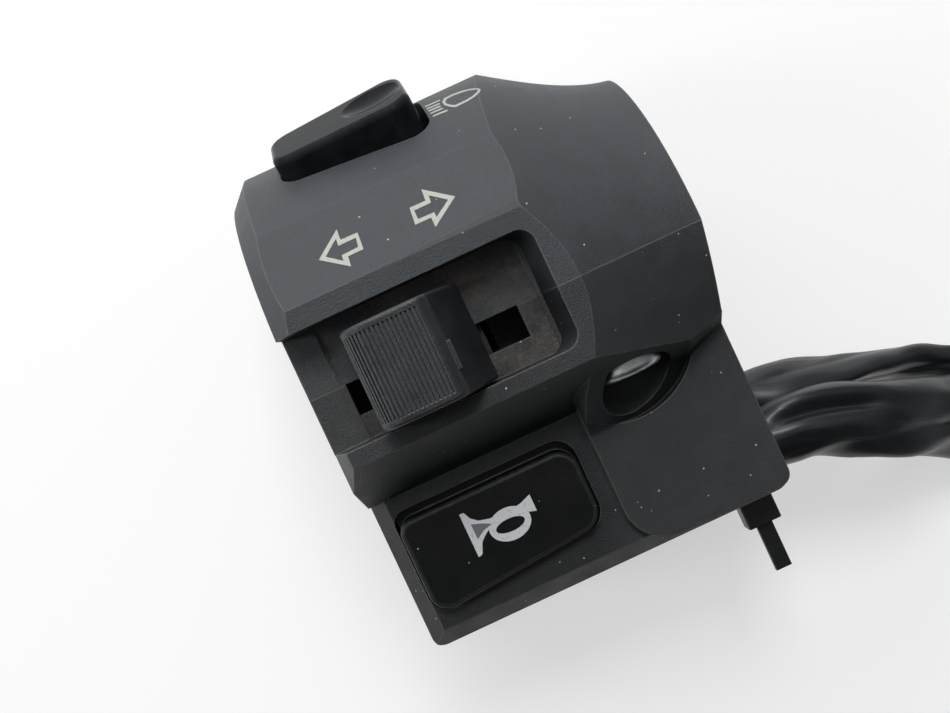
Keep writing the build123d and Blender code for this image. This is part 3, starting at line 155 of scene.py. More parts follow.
def new_group(name, inputs, outputs):
    """An empty node group with float inputs and outputs, and its two end nodes."""
    group = bpy.data.node_groups.new(name, "ShaderNodeTree")
    for label, value in inputs.items():
        socket = group.interface.new_socket(label, in_out="INPUT", socket_type="NodeSocketFloat")
        socket.default_value = value
    for label, kind in outputs.items():
        group.interface.new_socket(label, in_out="OUTPUT", socket_type="NodeSocket" + kind)
    return group, add(group, "NodeGroupInput"), add(group, "NodeGroupOutput")


def place(tree, group, **inputs):
    """This group in a material's tree, with the values for its inputs."""
    node = tree.nodes.new("ShaderNodeGroup")
    node.node_tree = group
    for key, value in inputs.items():
        node.inputs[key.replace("_", " ")].default_value = value
    return node


def rgb(red, green, blue):
    """A linear colour from the 0 to 255 numbers that a picture shows."""
    levels = np.array([red, green, blue]) / 255.0
    linear = np.where(levels <= 0.04045, levels / 12.92, ((levels + 0.055) / 1.055) ** 2.4)
    return (*[float(level) for level in linear], 1.0)


def computed(tree, operation, *numbers, clamp=False):
    """What a Math node makes of one or more numbers, each a value or a link."""
    return add(tree, "ShaderNodeMath", dict(enumerate(numbers)), operation=operation,
               use_clamp=clamp).outputs[0]


def laid_out(tree, value, low, high, to_low=0.0, to_high=1.0):
    """A number moved from the range low to high into another one, and held inside it."""
    return add(tree, "ShaderNodeMapRange", {"Value": value, "From Min": low, "From Max": high,
               "To Min": to_low, "To Max": to_high}).outputs["Result"]


def noise(tree, scale, detail, roughness):
    """Noise in the part's own space. Its scale counts ripples in a metre."""
    spot = add(tree, "ShaderNodeTexCoord").outputs["Object"]
    return add(tree, "ShaderNodeTexNoise", {"Vector": spot, "Scale": scale, "Detail": detail,
               "Roughness": roughness}).outputs["Fac"]


def axes_of(tree, vector):
    """The outputs X, Y and Z of a place or a direction."""
    return add(tree, "ShaderNodeSeparateXYZ", {"Vector": vector}).outputs


# %% Moulded grain
def make_grain():
    """Height: fine noise, some tenths of a millimetre wide, over a slower swell. Cloud: the slow
    swell alone, for patches of tone. Fleck: the fine noise alone, for a grain of tone."""
    group, given, out = new_group("moulded grain", {"Fine Scale": 2800.0, "Slow Scale": 260.0},
                                  {"Height": "Float", "Cloud": "Float", "Fleck": "Float"})
    swell_share = 0.6
    fine = noise(group, given.outputs["Fine Scale"], detail=3.0, roughness=0.6)
    slow = noise(group, given.outputs["Slow Scale"], detail=4.0, roughness=0.55)
    both = computed(group, "MULTIPLY_ADD", slow, swell_share, fine)
    for label, value in (("Height", both), ("Cloud", slow), ("Fleck", fine)):
        group.links.new(value, out.inputs[label])
    return group


# %% Rubbed edges
def make_rubbed_edges():
    """Mask: how far a rounded normal leans from the face's own normal, broken up by noise, so
    it is 0 on a flat and rises at an edge. Normal: the rounded normal, which gives a sharp
    CAD edge the small radius that every moulding has."""
    group, given, out = new_group("rubbed edges", {"Radius": 0.0003, "Gain": 4.0},
                                  {"Mask": "Float", "Normal": "Vector"})
    rounded = add(group, "ShaderNodeBevel", {"Radius": given.outputs["Radius"]},
                  samples=6).outputs["Normal"]
    flat = add(group, "ShaderNodeNewGeometry").outputs["Normal"]
    lean = add(group, "ShaderNodeVectorMath", {0: rounded, 1: flat}, operation="DISTANCE")
    breaks = noise(group, 900.0, detail=4.0, roughness=0.7)
    worn = computed(group, "MULTIPLY", lean.outputs["Value"], breaks)
    mask = computed(group, "MULTIPLY", worn, given.outputs["Gain"], clamp=True)
    group.links.new(mask, out.inputs["Mask"])
    group.links.new(rounded, out.inputs["Normal"])
    return group


# %% Dust specks
def make_dust():
    """Mask: small pale dots. Each cell of a Voronoi pattern holds one dot at its point, and a
    random number per cell keeps only a share of them and sets their size."""
    group, given, out = new_group("dust specks", {"Scale": 700.0, "Share": 0.06, "Size": 0.12},
                                  {"Mask": "Float"})
    spot = add(group, "ShaderNodeTexCoord").outputs["Object"]
    cells = add(group, "ShaderNodeTexVoronoi", {"Vector": spot, "Scale": given.outputs["Scale"]})
    lot = add(group, "ShaderNodeSeparateColor", {"Color": cells.outputs["Color"]})
    chosen = computed(group, "LESS_THAN", lot.outputs["Red"], given.outputs["Share"])
    reach = computed(group, "MULTIPLY", lot.outputs["Green"], given.outputs["Size"])
    dot = computed(group, "LESS_THAN", cells.outputs["Distance"], reach)
    group.links.new(computed(group, "MULTIPLY", chosen, dot), out.inputs["Mask"])
    return group


# %% Settled dust
def make_settled():
    """Mask: dust that lies on one level, such as a recess floor, on faces that look up. It fades
    with the height above or below, and a rough noise leaves it in drifts and crumbs."""
    group, given, out = new_group("settled dust", {"Level": 0.024, "Depth": 0.0006, "Amount": 1.0},
                                  {"Mask": "Float"})
    height = axes_of(group, add(group, "ShaderNodeTexCoord").outputs["Object"])["Z"]
    off = computed(group, "ABSOLUTE", computed(group, "SUBTRACT", height, given.outputs["Level"]))
    near = laid_out(group, off, 0.0, given.outputs["Depth"], 1.0, 0.0)
    crumbs = noise(group, 1500.0, detail=6.0, roughness=0.75)
    drifts = noise(group, 170.0, detail=2.0, roughness=0.5)
    bare, full = 0.16, 0.36
    rough = laid_out(group, computed(group, "MULTIPLY", crumbs, drifts), bare, full)
    steepest, level = 0.97, 0.995
    upward = axes_of(group, add(group, "ShaderNodeNewGeometry").outputs["Normal"])["Z"]
    flat = computed(group, "MULTIPLY", near, laid_out(group, upward, steepest, level))
    there = computed(group, "MULTIPLY", flat, rough)
    mask = computed(group, "MULTIPLY", there, given.outputs["Amount"], clamp=True)
    group.links.new(mask, out.inputs["Mask"])
    return group


# %% Painted shade low on the outboard side
def make_painted_corner_shade():
    """Mask: 1 low down on the outboard side, where a painted shade darkens the plastic, and 0 above and
    inboard of it."""
    group, given, out = new_group("painted_corner_shade", {"Right": 0.004, "Top": -0.016, "Fade": 0.006},
                                  {"Mask": "Float"})
    axes = axes_of(group, add(group, "ShaderNodeTexCoord").outputs["Object"])
    shares = []
    for axis, edge in (("X", "Right"), ("Y", "Top")):
        past = computed(group, "SUBTRACT", given.outputs[edge], axes[axis])
        shares.append(computed(group, "DIVIDE", past, given.outputs["Fade"], clamp=True))
    group.links.new(computed(group, "MULTIPLY", *shares), out.inputs["Mask"])
    return group


grain = make_grain()
rubbed_edges = make_rubbed_edges()
dust_specks = make_dust()
settled_dust = make_settled()
painted_corner_shade = make_painted_corner_shade()
effects = (grain, rubbed_edges, dust_specks, settled_dust, painted_corner_shade)
print("shared effects", [group.name for group in effects])

# %% [markdown]
# ## Finishes
# All the plastics share one recipe with their own numbers: a dark colour that drifts a little,
# paler where edges are rubbed, dotted with dust, and a grain that breaks up the shine. A
# roughness that follows the slow swell keeps large faces from looking printed.

# %% Plastic recipe
noise_low, noise_high = 0.3, 0.7
fleck_tone = 0.45
roughness_swing = 0.06
grain_height = 0.0003
settled_colour = rgb(96, 90, 84)
# Colour of the painted shade low on the outboard side of the lower shell.
corner_shade_colour = rgb(19, 22, 24)
speck_colour = rgb(188, 188, 184)


def new_material(name):
    """A material, its tree and its main shader."""
    material = bpy.data.materials.new(name)
    material.use_nodes = True
    return material, material.node_tree, material.node_tree.nodes["Principled BSDF"]


def mixed(tree, share, one, other):
    """A colour that goes from one to the other by this share."""
    mix = add(tree, "ShaderNodeMix", data_type="RGBA")
    for socket, value in ((mix.inputs[0], share), (mix.inputs[6], one), (mix.inputs[7], other)):
        if isinstance(value, bpy.types.NodeSocket):
            tree.links.new(value, socket)
        else:
            socket.default_value = value
    return mix.outputs[2]


def stretched(tree, value, low, high):
    """A noise laid out between low and high."""
    return laid_out(tree, value, noise_low, noise_high, low, high)


def bumped(tree, height, strength, distance, **under):
    """The normal that this height gives, over the one under it where there is one."""
    return add(tree, "ShaderNodeBump", {"Height": height, "Strength": strength,
               "Distance": distance, **under}).outputs["Normal"]


def connect(tree, shader, colour, roughness, **normal):
    """Links for the shader's colour, roughness and, where it is given, normal."""
    for socket, value in {"Base Color": colour, "Roughness": roughness, **normal}.items():
        tree.links.new(value, shader.inputs[socket])


def plastic(name, dark, light, edge, rough, bump=0.12, fine=2800.0, specks=(700.0, 0.05, 0.10),
            edge_radius=0.0003, edge_gain=2.0, specular=0.5, settled=0.0, fleck=0.5, corner_shaded=False):
    """A moulded plastic. The colour runs from dark to light with the slow swell and the fine
    fleck, to edge where it is rubbed, and to dust where a speck or settled dust lies; roughness
    swings round its middle value. Specks are their cells in a metre, their share and size."""
    material, tree, shader = new_material(name)
    texture = place(tree, grain, Fine_Scale=fine)
    edges = place(tree, rubbed_edges, Radius=edge_radius, Gain=edge_gain)
    dots = place(tree, dust_specks, Scale=specks[0], Share=specks[1], Size=specks[2])
    cloud = texture.outputs["Cloud"]
    colour = mixed(tree, stretched(tree, cloud, 0.0, 1.0), dark, light)
    if fleck:
        deep = (*[level * fleck_tone for level in dark[:3]], 1.0)
        colour = mixed(tree, stretched(tree, texture.outputs["Fleck"], 0.0, fleck), colour, deep)
    if settled:
        layer = place(tree, settled_dust, Amount=settled)
        colour = mixed(tree, layer.outputs["Mask"], colour, settled_colour)
    # Painted shade: the plastic turns darker low down on the outboard side.
    if corner_shaded:
        colour = mixed(tree, place(tree, painted_corner_shade).outputs["Mask"], colour, corner_shade_colour)
    colour = mixed(tree, edges.outputs["Mask"], colour, edge)
    colour = mixed(tree, dots.outputs["Mask"], colour, speck_colour)
    roughness = stretched(tree, cloud, rough - roughness_swing, rough + roughness_swing)
    normal = bumped(tree, texture.outputs["Height"], bump, grain_height,
                    Normal=edges.outputs["Normal"])
    connect(tree, shader, colour, roughness, Normal=normal)
    shader.inputs["Specular IOR Level"].default_value = specular
    return material


# %% Plastics of this cluster
finishes = {
    "shell_upper": plastic("upper shell plastic", rgb(52, 57, 62), rgb(63, 68, 73), rgb(110, 112, 112),
                           0.52, bump=0.5, fine=4800.0, specks=(900.0, 0.12, 0.12), edge_gain=3.0,
                           settled=1.0, fleck=0.4),
    # The lower shell gets a painted shade low on its outboard side.
    "shell_lower": plastic("lower shell plastic", rgb(38, 42, 45), rgb(50, 54, 57), rgb(98, 96, 92),
                           0.55, bump=0.5, fine=4800.0, specks=(900.0, 0.30, 0.13), edge_gain=3.5,
                           settled=1.0, fleck=0.4, corner_shaded=True),
    "knob": plastic("knob plastic", rgb(30, 33, 36), rgb(39, 42, 45), rgb(104, 108, 112), 0.42,
                    bump=0.25, edge_radius=0.00016, edge_gain=2.4, fleck=0.35),
    "button": plastic("button plastic", rgb(6, 8, 9), rgb(10, 12, 13), rgb(112, 116, 120), 0.42,
                      specks=(900.0, 0.12, 0.10), edge_gain=4.0, fleck=0.3, specular=0.25),
    "lever": plastic("lever gloss plastic", rgb(17, 19, 21), rgb(30, 32, 35), rgb(110, 114, 118), 0.10,
                     bump=0.03, specks=(900.0, 0.14, 0.08), edge_radius=0.00035, specular=0.02,
                     fleck=0.0),
    "tie": plastic("tie nylon", rgb(18, 20, 21), rgb(27, 29, 30), rgb(70, 70, 70), 0.38, bump=0.08),
    "inner_black": plastic("inner black plastic", rgb(22, 22, 23), rgb(30, 30, 31), rgb(60, 60, 60),
                           0.6, bump=0.2),
    "inner_white": plastic("inner white plastic", rgb(205, 200, 188), rgb(218, 214, 203),
                           rgb(230, 228, 220), 0.45, bump=0.1, specks=(500.0, 0.0, 0.0)),
    "connector": plastic("connector plastic", rgb(196, 192, 178), rgb(212, 208, 196),
                         rgb(226, 224, 214), 0.45, bump=0.08, specks=(500.0, 0.02, 0.1)),
}


# %% [markdown]
# ## Metals
# A plated screw is bright, but its plating is brushed and a little cloudy, so its roughness
# changes from place to place. Brass contacts, spring steel and tinned terminals take the same
# recipe with another colour. Metal shows what surrounds it, so it stays plain otherwise.

# %% Metal recipe
duller, brighter = 0.1, 0.08


def metal(name, dark, light, rough):
    """A metal whose colour follows the slow swell and whose roughness follows the whole grain."""
    material, tree, shader = new_material(name)
    texture = place(tree, grain, Fine_Scale=1800.0, Slow_Scale=700.0)
    edges = place(tree, rubbed_edges, Radius=0.00015, Gain=1.0)
    height = texture.outputs["Height"]
    colour = mixed(tree, stretched(tree, texture.outputs["Cloud"], 0.0, 1.0), dark, light)
    normal = bumped(tree, height, strength=0.08, distance=0.0001, Normal=edges.outputs["Normal"])
    connect(tree, shader, colour, stretched(tree, height, rough - brighter, rough + duller),
            Normal=normal)
    shader.inputs["Metallic"].default_value = 1.0
    return material


finishes["zinc"] = metal("zinc plating", rgb(188, 190, 192), rgb(222, 224, 226), 0.30)
finishes["brass"] = metal("brass", rgb(176, 142, 78), rgb(206, 172, 104), 0.28)
finishes["steel"] = metal("steel", rgb(160, 162, 164), rgb(196, 198, 200), 0.32)
finishes["spring_steel"] = metal("spring steel", rgb(128, 128, 130), rgb(168, 168, 170), 0.30)
finishes["tin"] = metal("tinned brass", rgb(186, 184, 176), rgb(214, 212, 206), 0.30)

# %% [markdown]
# ## Finishes onto the CAD pieces
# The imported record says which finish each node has, so one loop dresses them all. The nodes'
# meshes stay as they are.

# %% Dress the nodes
slots = {row["node"]: row["material_slot"] for row in frame["record"]["subparts"]}
for node, slot in slots.items():
    if slot in finishes:
        nodes[node].data.materials.clear()
        nodes[node].data.materials.append(finishes[slot])
# The slider shows through the knob's slot, which looks dark all through, so it is black.
nodes["turn_slider"].data.materials[0] = finishes["inner_black"]
print("dressed", sum(slot in finishes for slot in slots.values()), "of", len(slots), "nodes")

# %% [markdown]
# ## The sleeves' finish
# The harness runs in soft PVC tubing. It shines more than the housing, because its skin is
# smooth, and it has long shallow creases that follow the tube. So its pattern reads the
# piece's own UV map, which counts metres along and round the tube.

# %% Sleeve finish
creases_along, creases_round = 90.0, 420.0


def sleeve_finish():
    """Dark satin vinyl: noise drawn out along the tube for creases, fine noise for the skin,
    and a roughness that swings with the creases."""
    material, tree, shader = new_material("sleeve vinyl")
    spot = add(tree, "ShaderNodeUVMap", uv_map="UVMap")
    drawn = add(tree, "ShaderNodeMapping", {"Vector": spot.outputs["UV"],
                "Scale": (creases_along, creases_round, 1.0)})
    creases = add(tree, "ShaderNodeTexNoise", {"Vector": drawn.outputs["Vector"], "Scale": 1.0,
                  "Detail": 3.0, "Roughness": 0.5, "Distortion": 0.6}).outputs["Fac"]
    texture = place(tree, grain, Fine_Scale=2600.0, Slow_Scale=300.0)
    dots = place(tree, dust_specks, Scale=600.0, Share=0.05, Size=0.1)
    colour = mixed(tree, stretched(tree, creases, 0.0, 1.0), rgb(24, 27, 30), rgb(36, 39, 43))
    colour = mixed(tree, dots.outputs["Mask"], colour, rgb(140, 138, 132))
    folded = bumped(tree, creases, strength=0.35, distance=0.0005)
    skin = bumped(tree, texture.outputs["Height"], strength=0.06, distance=0.0002, Normal=folded)
    glossy, satin = 0.30, 0.42
    connect(tree, shader, colour, stretched(tree, creases, glossy, satin), Normal=skin)
    return material


finishes["sleeve"] = sleeve_finish()

# %% [markdown]
# ## The sleeves' lines
# Each sleeve leaves a hole in the block, falls to the floor, and runs out of the picture to a
# put-away coil and a connector. Its line is one smooth NURBS curve through the same route as
# the CAD's. A quadratic spline touches its polygon's sides at their middles, so a coil's
# control points stand a little outside the turn: the radius divided by the cosine of half a step.

# %% Sleeve lines
coil_turn = math.radians(-25.0)
outer_centre, inner_centre = np.array([146.6, 43.8]), np.array([146.6, 52.95])
points_per_turn = 16
steps_per_span = 24
floor_height = -25.0
lying_a, lying_b = -21.3, -20.7


def coil_points(centre, radius, start, end, height):
    """Control points of part of a turn, from one angle to another in degrees, turned with the
    coil. They stand outside the turn by 1 / cos(half a step)."""
    count = round(abs(end - start) / 360.0 * points_per_turn) + 1
    angles = np.radians(np.linspace(start, end, count))
    reach = radius / math.cos(math.pi / points_per_turn)
    along = centre[0] + reach * np.cos(angles)
    across = centre[1] + reach * np.sin(angles)
    return in_coil(along, across, height)


def in_coil(along, across, height):
    """Places given along and across the coil's heading, in the part's own directions."""
    x = along * math.cos(coil_turn) - across * math.sin(coil_turn)
    y = along * math.sin(coil_turn) + across * math.cos(coil_turn)
    return np.stack([x, y, np.full_like(x, height)], axis=-1)


def spline_line(name, points):
    """The points of the smooth NURBS line that these control points, in mm, give, in metres."""
    curve = bpy.data.curves.new(name, "CURVE")
    curve.dimensions = "3D"
    spline = curve.splines.new("NURBS")
    spline.points.add(len(points) - 1)
    spline.points.foreach_set("co", np.column_stack([points * MM, np.ones(len(points))]).ravel())
    spline.order_u = 3
    spline.use_endpoint_u = True
    spline.resolution_u = steps_per_span
    holder = bpy.data.objects.new(name, curve)
    mesh = bpy.data.meshes.new_from_object(holder)
    line = np.zeros(len(mesh.vertices) * 3)
    mesh.vertices.foreach_get("co", line)
    bpy.data.objects.remove(holder)
    bpy.data.curves.remove(curve)
    bpy.data.meshes.remove(mesh)
    return line.reshape(-1, 3)


def evenly(line, step):
    """The same line with points this far apart along it, and how far along each of them is."""
    lengths = np.linalg.norm(np.diff(line, axis=0), axis=1)
    along = np.concatenate([[0.0], np.cumsum(lengths)])
    places = np.linspace(0.0, along[-1], round(along[-1] / step) + 1)
    return np.stack([np.interp(places, along, line[:, k]) for k in range(3)], axis=1), places


route_a = np.array([
    (14.3, -27.9, -6.5), (26.3, -27.9, -6.5), (35.0, -27.9, -6.5), (46.0, -31.0, -10.5),
    (57.34, -35.56, -18.2), (65.96, -39.8, lying_a), (86.23, -48.15, lying_a),
    (106.198, -58.569, lying_a),
])
route_b = np.array([
    (14.3, -34.0, 0.4), (26.3, -34.0, 0.4), (36.0, -34.2, 0.4), (48.4, -40.2, -3.7),
    (60.5, -46.3, -15.0), (72.57, -52.6, lying_b), (87.84, -61.262, lying_b),
    (106.409, -68.763, lying_b),
])
points_a = np.concatenate([
    route_a, coil_points(outer_centre, 52.0, -90, 90, lying_a),
    coil_points(inner_centre, 42.85, 112.5, 270, lying_a),
    in_coil(np.array([156.0]), np.array([10.1]), lying_a),
])
points_b = np.concatenate([
    route_b, coil_points(outer_centre, 61.15, -90, 90, lying_b),
    coil_points(inner_centre, 52.0, 112.5, 180, lying_b),
    in_coil(np.array([94.6]), np.array([38.5]), lying_b),
])
ring_step = 0.8 * MM
line_a, along_a = evenly(spline_line("sleeve_a_line", points_a), ring_step)
line_b, along_b = evenly(spline_line("sleeve_b_line", points_b), ring_step)
print("sleeve lengths", round(along_a[-1], 4), round(along_b[-1], 4))

# %% [markdown]
# ## The sleeves' skin
# A soft tube is never round for long. It is pressed flat by its neighbours, the flat side
# turns as it runs, and folds stand in it where it bends. So the section is a superellipse whose
# two half widths, corner power and turn are tables along the tube, and each fold is a rounded
# ridge or groove that starts at one place and angle and ends at another. Inside the wall's
# hole the tube stays round, and in the coil it is nearly so.

# %% Sleeve skin
columns_round = 72
smoothing_rings = 9
hole_end = 13.5
loosening = 5.0
fade_rate, fade_start = 4.0, 0.5
wrinkle_height = 0.055
wrinkles_along = np.array([0.21, 0.34, 0.47, 0.13, 0.62])
wrinkles_round = np.array([2, 3, -2, -3, 4])


def table(along, rows, column):
    """A value along the tube, straight between the rows and then smoothed over a few rings."""
    rows = np.array(rows, float)
    value = np.interp(along / MM, rows[:, 0], rows[:, column])
    window = np.hanning(smoothing_rings)[1:-1]
    spare = len(window) // 2
    padded = np.concatenate([np.full(spare, value[0]), value, np.full(spare, value[-1])])
    return np.convolve(padded, window / window.sum(), mode="valid")


def folds_height(along, angle, folds):
    """Sum of folds: each is height * exp(-(angle from the fold's own line / width) squared),
    faded in and out over its ends. Places in mm, angles in degrees."""
    total = np.zeros((len(along), len(angle)))
    for first, last, angle_first, angle_last, width, height in folds:
        share = (along / MM - first) / (last - first)
        fade = np.clip(np.minimum(share, 1.0 - share) * fade_rate + fade_start, 0.0, 1.0)
        middle = angle_first + (angle_last - angle_first) * np.clip(share, 0.0, 1.0)
        off = (np.degrees(angle)[None, :] - middle[:, None] + 180.0) % 360.0 - 180.0
        total += (fade ** 2 * (3.0 - 2.0 * fade))[:, None] * height * np.exp(-(off / width) ** 2)
    return total


def sleeve_skin(name, line, along, sizes, folds, seed):
    """The tube's surface. Round each point of the line: side = Z x heading, rise = heading x
    side, and a radius at each angle from side towards rise. What would sink into the floor
    lies flat on it."""
    angle = np.linspace(0.0, 2.0 * np.pi, columns_round, endpoint=False) - math.pi / 2
    heading = np.gradient(line, axis=0)
    heading /= np.linalg.norm(heading, axis=1, keepdims=True)
    side = np.cross([0.0, 0.0, 1.0], heading)
    side /= np.linalg.norm(side, axis=1, keepdims=True)
    rise = np.cross(heading, side)
    wide, thin, power, turn = [table(along, sizes, column)[:, None] for column in (1, 2, 3, 4)]
    leaned = angle[None, :] - np.radians(turn)
    radius = ((np.abs(np.cos(leaned)) / wide) ** power
              + (np.abs(np.sin(leaned)) / thin) ** power) ** (-1.0 / power)
    loose = np.clip((along / MM - hole_end) / loosening, 0.0, 1.0)[:, None]
    waves = np.random.default_rng(seed).uniform(0.0, 2.0 * np.pi, (len(wrinkles_round), 1, 1))
    rolls = along[None, :, None] / MM * wrinkles_along[:, None, None]
    turns = angle[None, None, :] * wrinkles_round[:, None, None]
    wrinkles = np.sin(rolls + turns + waves).sum(axis=0) * wrinkle_height
    radius = radius + loose * (folds_height(along, angle, folds) + wrinkles)
    outward = (np.cos(angle)[None, :, None] * side[:, None, :]
               + np.sin(angle)[None, :, None] * rise[:, None, :])
    points = line[:, None, :] + MM * radius[..., None] * outward
    points[..., 2] = np.maximum(points[..., 2], floor_height * MM)
    across = np.linspace(0.0, 1.0, columns_round + 1) * 2.0 * np.pi * sizes[0][1] * MM
    piece = grid_piece(name, points, across, along)
    piece.data.materials.append(finishes["sleeve"])
    print(name, "rings", len(line), "radius from", round(float(radius.min()), 2), "to",
          round(float(radius.max()), 2), "mm")
    return piece


# %% Both sleeves
# A row of sizes: place along the tube, half width, half thickness, corner power and turn.
# A row of folds: first and last place, first and last angle, width and height.
sizes_a = [(0, 3.68, 3.68, 2.0, 125), (13, 3.68, 3.68, 2.0, 125), (17, 4.3, 3.0, 2.0, 125),
           (24, 4.7, 2.4, 2.0, 122), (34, 4.7, 2.3, 2.0, 92), (44, 4.2, 2.4, 2.0, 60),
           (52, 3.2, 2.6, 2.0, 40), (60, 3.0, 2.8, 2.0, 30), (84, 3.9, 3.4, 2.0, 10),
           (130, 3.8, 3.6, 2.0, 0), (500, 3.75, 3.65, 2.0, 0)]
folds_a = [(14, 34, 128, 96, 14, 0.35), (20, 58, 150, 80, 12, -0.35), (30, 62, 60, 20, 16, 0.3),
           (16, 44, 60, 40, 22, -0.3)]
sizes_b = [(0, 4.28, 4.28, 2.0, -5), (13, 4.28, 4.28, 2.0, -5), (17, 5.1, 4.2, 2.7, -5),
           (32, 5.6, 4.0, 3.0, -5), (42, 6.2, 3.6, 2.8, -4), (54, 7.0, 2.8, 2.4, 0),
           (68, 6.4, 3.1, 2.2, 0), (92, 4.8, 4.0, 2.0, 0), (130, 4.4, 4.2, 2.0, 0),
           (500, 4.35, 4.25, 2.0, 0)]
folds_b = [(10, 30, 62, 50, 13, -1.5), (14, 60, 36, 40, 12, 0.35), (24, 52, 176, 112, 13, 0.55),
           (20, 50, 152, 92, 15, -0.45), (42, 70, 168, 118, 11, -0.9), (14, 30, 84, 100, 18, 0.4)]
sleeve_a = sleeve_skin("sleeve_a", line_a, along_a, sizes_a, folds_a, 3)
sleeve_b = sleeve_skin("sleeve_b", line_b, along_b, sizes_b, folds_b, 8)
for sleeve, line, exit_place, length, diameter in (
        (sleeve_a, line_a, (26.3, -27.9, -6.5), 0.43, 0.0074),
        (sleeve_b, line_b, (26.3, -34.0, 0.4), 0.41, 0.0086)):
    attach(sleeve, "housing")
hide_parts("sleeve_a_lead", "sleeve_a_coil")
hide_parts("sleeve_b_lead", "sleeve_b_coil")

# %% [markdown]
# ## Printed signs
# The turn arrows, the horn and the beam are pad printed: a skin of paint a few hundredths of a
# millimetre thick that follows whatever it lies on. Each sign is made of bands between two
# edges drawn in plan, and every point of a band is dropped straight down onto the CAD node's
# triangles, where it stands off the surface by the paint's thickness.

# %% Dropping points on a node
least_upward = 0.02
edge_slack = 1e-4


def triangles_of(node):
    """The node's triangles as an (n, 3, 3) array, in metres."""
    mesh = nodes[node].data
    mesh.calc_loop_triangles()
    places = np.zeros(len(mesh.vertices) * 3)
    mesh.vertices.foreach_get("co", places)
    corners = np.zeros(len(mesh.loop_triangles) * 3, int)
    mesh.loop_triangles.foreach_get("vertices", corners)
    return places.reshape(-1, 3)[corners].reshape(-1, 3, 3)


def plan_area(one, other, start):
    """Twice the plan area of the triangle start, one, other, above 0 where it runs that way
    round anticlockwise."""
    first, second = one - start, other - start
    return first[..., 0] * second[..., 1] - first[..., 1] * second[..., 0]


def dropped(plan, node):
    """Where points given by X and Y meet the node from above, and the facing of what they meet.
    For each point and triangle the three plan areas tell whether the point lies in it; among
    those that hold it, the highest wins."""
    solid = triangles_of(node)
    flat = plan.reshape(-1, 2)
    low, high = flat.min(axis=0), flat.max(axis=0)
    near = ((solid[:, :, :2].max(axis=1) >= low) & (solid[:, :, :2].min(axis=1) <= high)).all(axis=1)
    solid = solid[near]
    facing = np.cross(solid[:, 1] - solid[:, 0], solid[:, 2] - solid[:, 0])
    facing /= np.maximum(np.linalg.norm(facing, axis=1, keepdims=True), 1e-15)
    upward = facing[:, 2] > least_upward
    solid, facing = solid[upward], facing[upward]
    a, b, c = [solid[None, :, corner, :2] for corner in range(3)]
    p = flat[:, None, :]
    area = plan_area(b, c, a)
    share_a = plan_area(b, c, p) / area
    share_b = plan_area(c, a, p) / area
    share_c = 1.0 - share_a - share_b
    inside = (share_a >= -edge_slack) & (share_b >= -edge_slack) & (share_c >= -edge_slack)
    height = share_a * solid[:, 0, 2] + share_b * solid[:, 1, 2] + share_c * solid[:, 2, 2]
    height = np.where(inside, height, -1.0)
    best = height.argmax(axis=1)
    top = height[np.arange(len(flat)), best]
    landed = np.column_stack([flat, top]).reshape(*plan.shape[:-1], 3)
    return landed, facing[best].reshape(*plan.shape[:-1], 3)


# %% Paint bands
paint_rise = 0.035
paint_root = -0.03


def finer(edge, spacing):
    """An edge's points with straight runs between them divided, about this far apart in mm."""
    edge = np.array(edge, float)
    counts = np.maximum(1, np.ceil(np.linalg.norm(np.diff(edge, axis=0), axis=1) / spacing)).astype(int)
    starts = np.repeat(np.arange(len(counts)), counts)
    within = np.concatenate([np.arange(n) / n for n in counts])
    points = edge[starts] + (edge[starts + 1] - edge[starts]) * within[:, None]
    return np.concatenate([points, edge[-1:]])


def facing_edge(edge, shape):
    """The points of another edge that lie straight above or below this edge's points in plan."""
    shape = np.array(shape)
    return np.column_stack([edge[:, 0], np.interp(edge[:, 0], shape[:, 0], shape[:, 1])])


def turned_out(piece):
    """Faces turned outwards, whichever way round the two edges were drawn."""
    shape = bmesh.new()
    shape.from_mesh(piece.data)
    bmesh.ops.recalc_face_normals(shape, faces=shape.faces)
    shape.to_mesh(piece.data)
    shape.free()


def paint_band(name, edge_one, edge_two, node, body, finish, rise=paint_rise, across=2):
    """A skin of paint between two edges with as many points each. The grid's columns go across
    the top from edge one to edge two and back under it, so each row is a closed ring."""
    edge_one, edge_two = np.array(edge_one) * MM, np.array(edge_two) * MM
    share = np.linspace(0.0, 1.0, across + 1)[None, :, None]
    plan = edge_one[:, None, :] * (1.0 - share) + edge_two[:, None, :] * share
    landed, facing = dropped(plan, node)
    top = landed + facing * rise * MM
    under = landed + facing * paint_root * MM
    ring = np.concatenate([top, under[:, ::-1]], axis=1)
    piece = grid_piece(name, ring)
    piece.data.polygons.foreach_set("use_smooth", np.zeros(len(piece.data.polygons), bool))
    turned_out(piece)
    piece.data.materials.append(finish)
    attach(piece, body)
    return piece


def loop_band(name, outer, inner, node, body, finish, rise=paint_rise, spacing=0.4):
    """A closed outline: both edges go right round and each side of the shape gets as many points
    in both, so that the corners stay mitred."""
    outer, inner = np.array(outer, float), np.array(inner, float)
    sides = np.linalg.norm(np.roll(outer, -1, 0) - outer, axis=1)
    runs = np.maximum(1, np.ceil(sides / spacing)).astype(int)
    starts = np.repeat(np.arange(len(outer)), runs)
    within = np.concatenate([np.arange(n) / n for n in runs])[:, None]
    both = [edge[starts] * (1 - within) + np.roll(edge, -1, 0)[starts] * within
            for edge in (outer, inner)]
    both = [np.concatenate([edge, edge[:1]]) for edge in both]
    return paint_band(name, *both, node, body, finish, rise)


# %% Paints
def paint(name, colour, faded):
    """Pad-print ink: a flat pale colour with thin places where the plastic shows through."""
    material, tree, shader = new_material(name)
    thin = noise(tree, 2600.0, detail=5.0, roughness=0.7)
    first_thin, thinnest, most_faded = 0.56, 0.72, 0.75
    share = laid_out(tree, thin, first_thin, thinnest, 0.0, most_faded)
    satin, matt = 0.5, 0.62
    connect(tree, shader, mixed(tree, share, colour, faded), stretched(tree, thin, satin, matt))
    return material


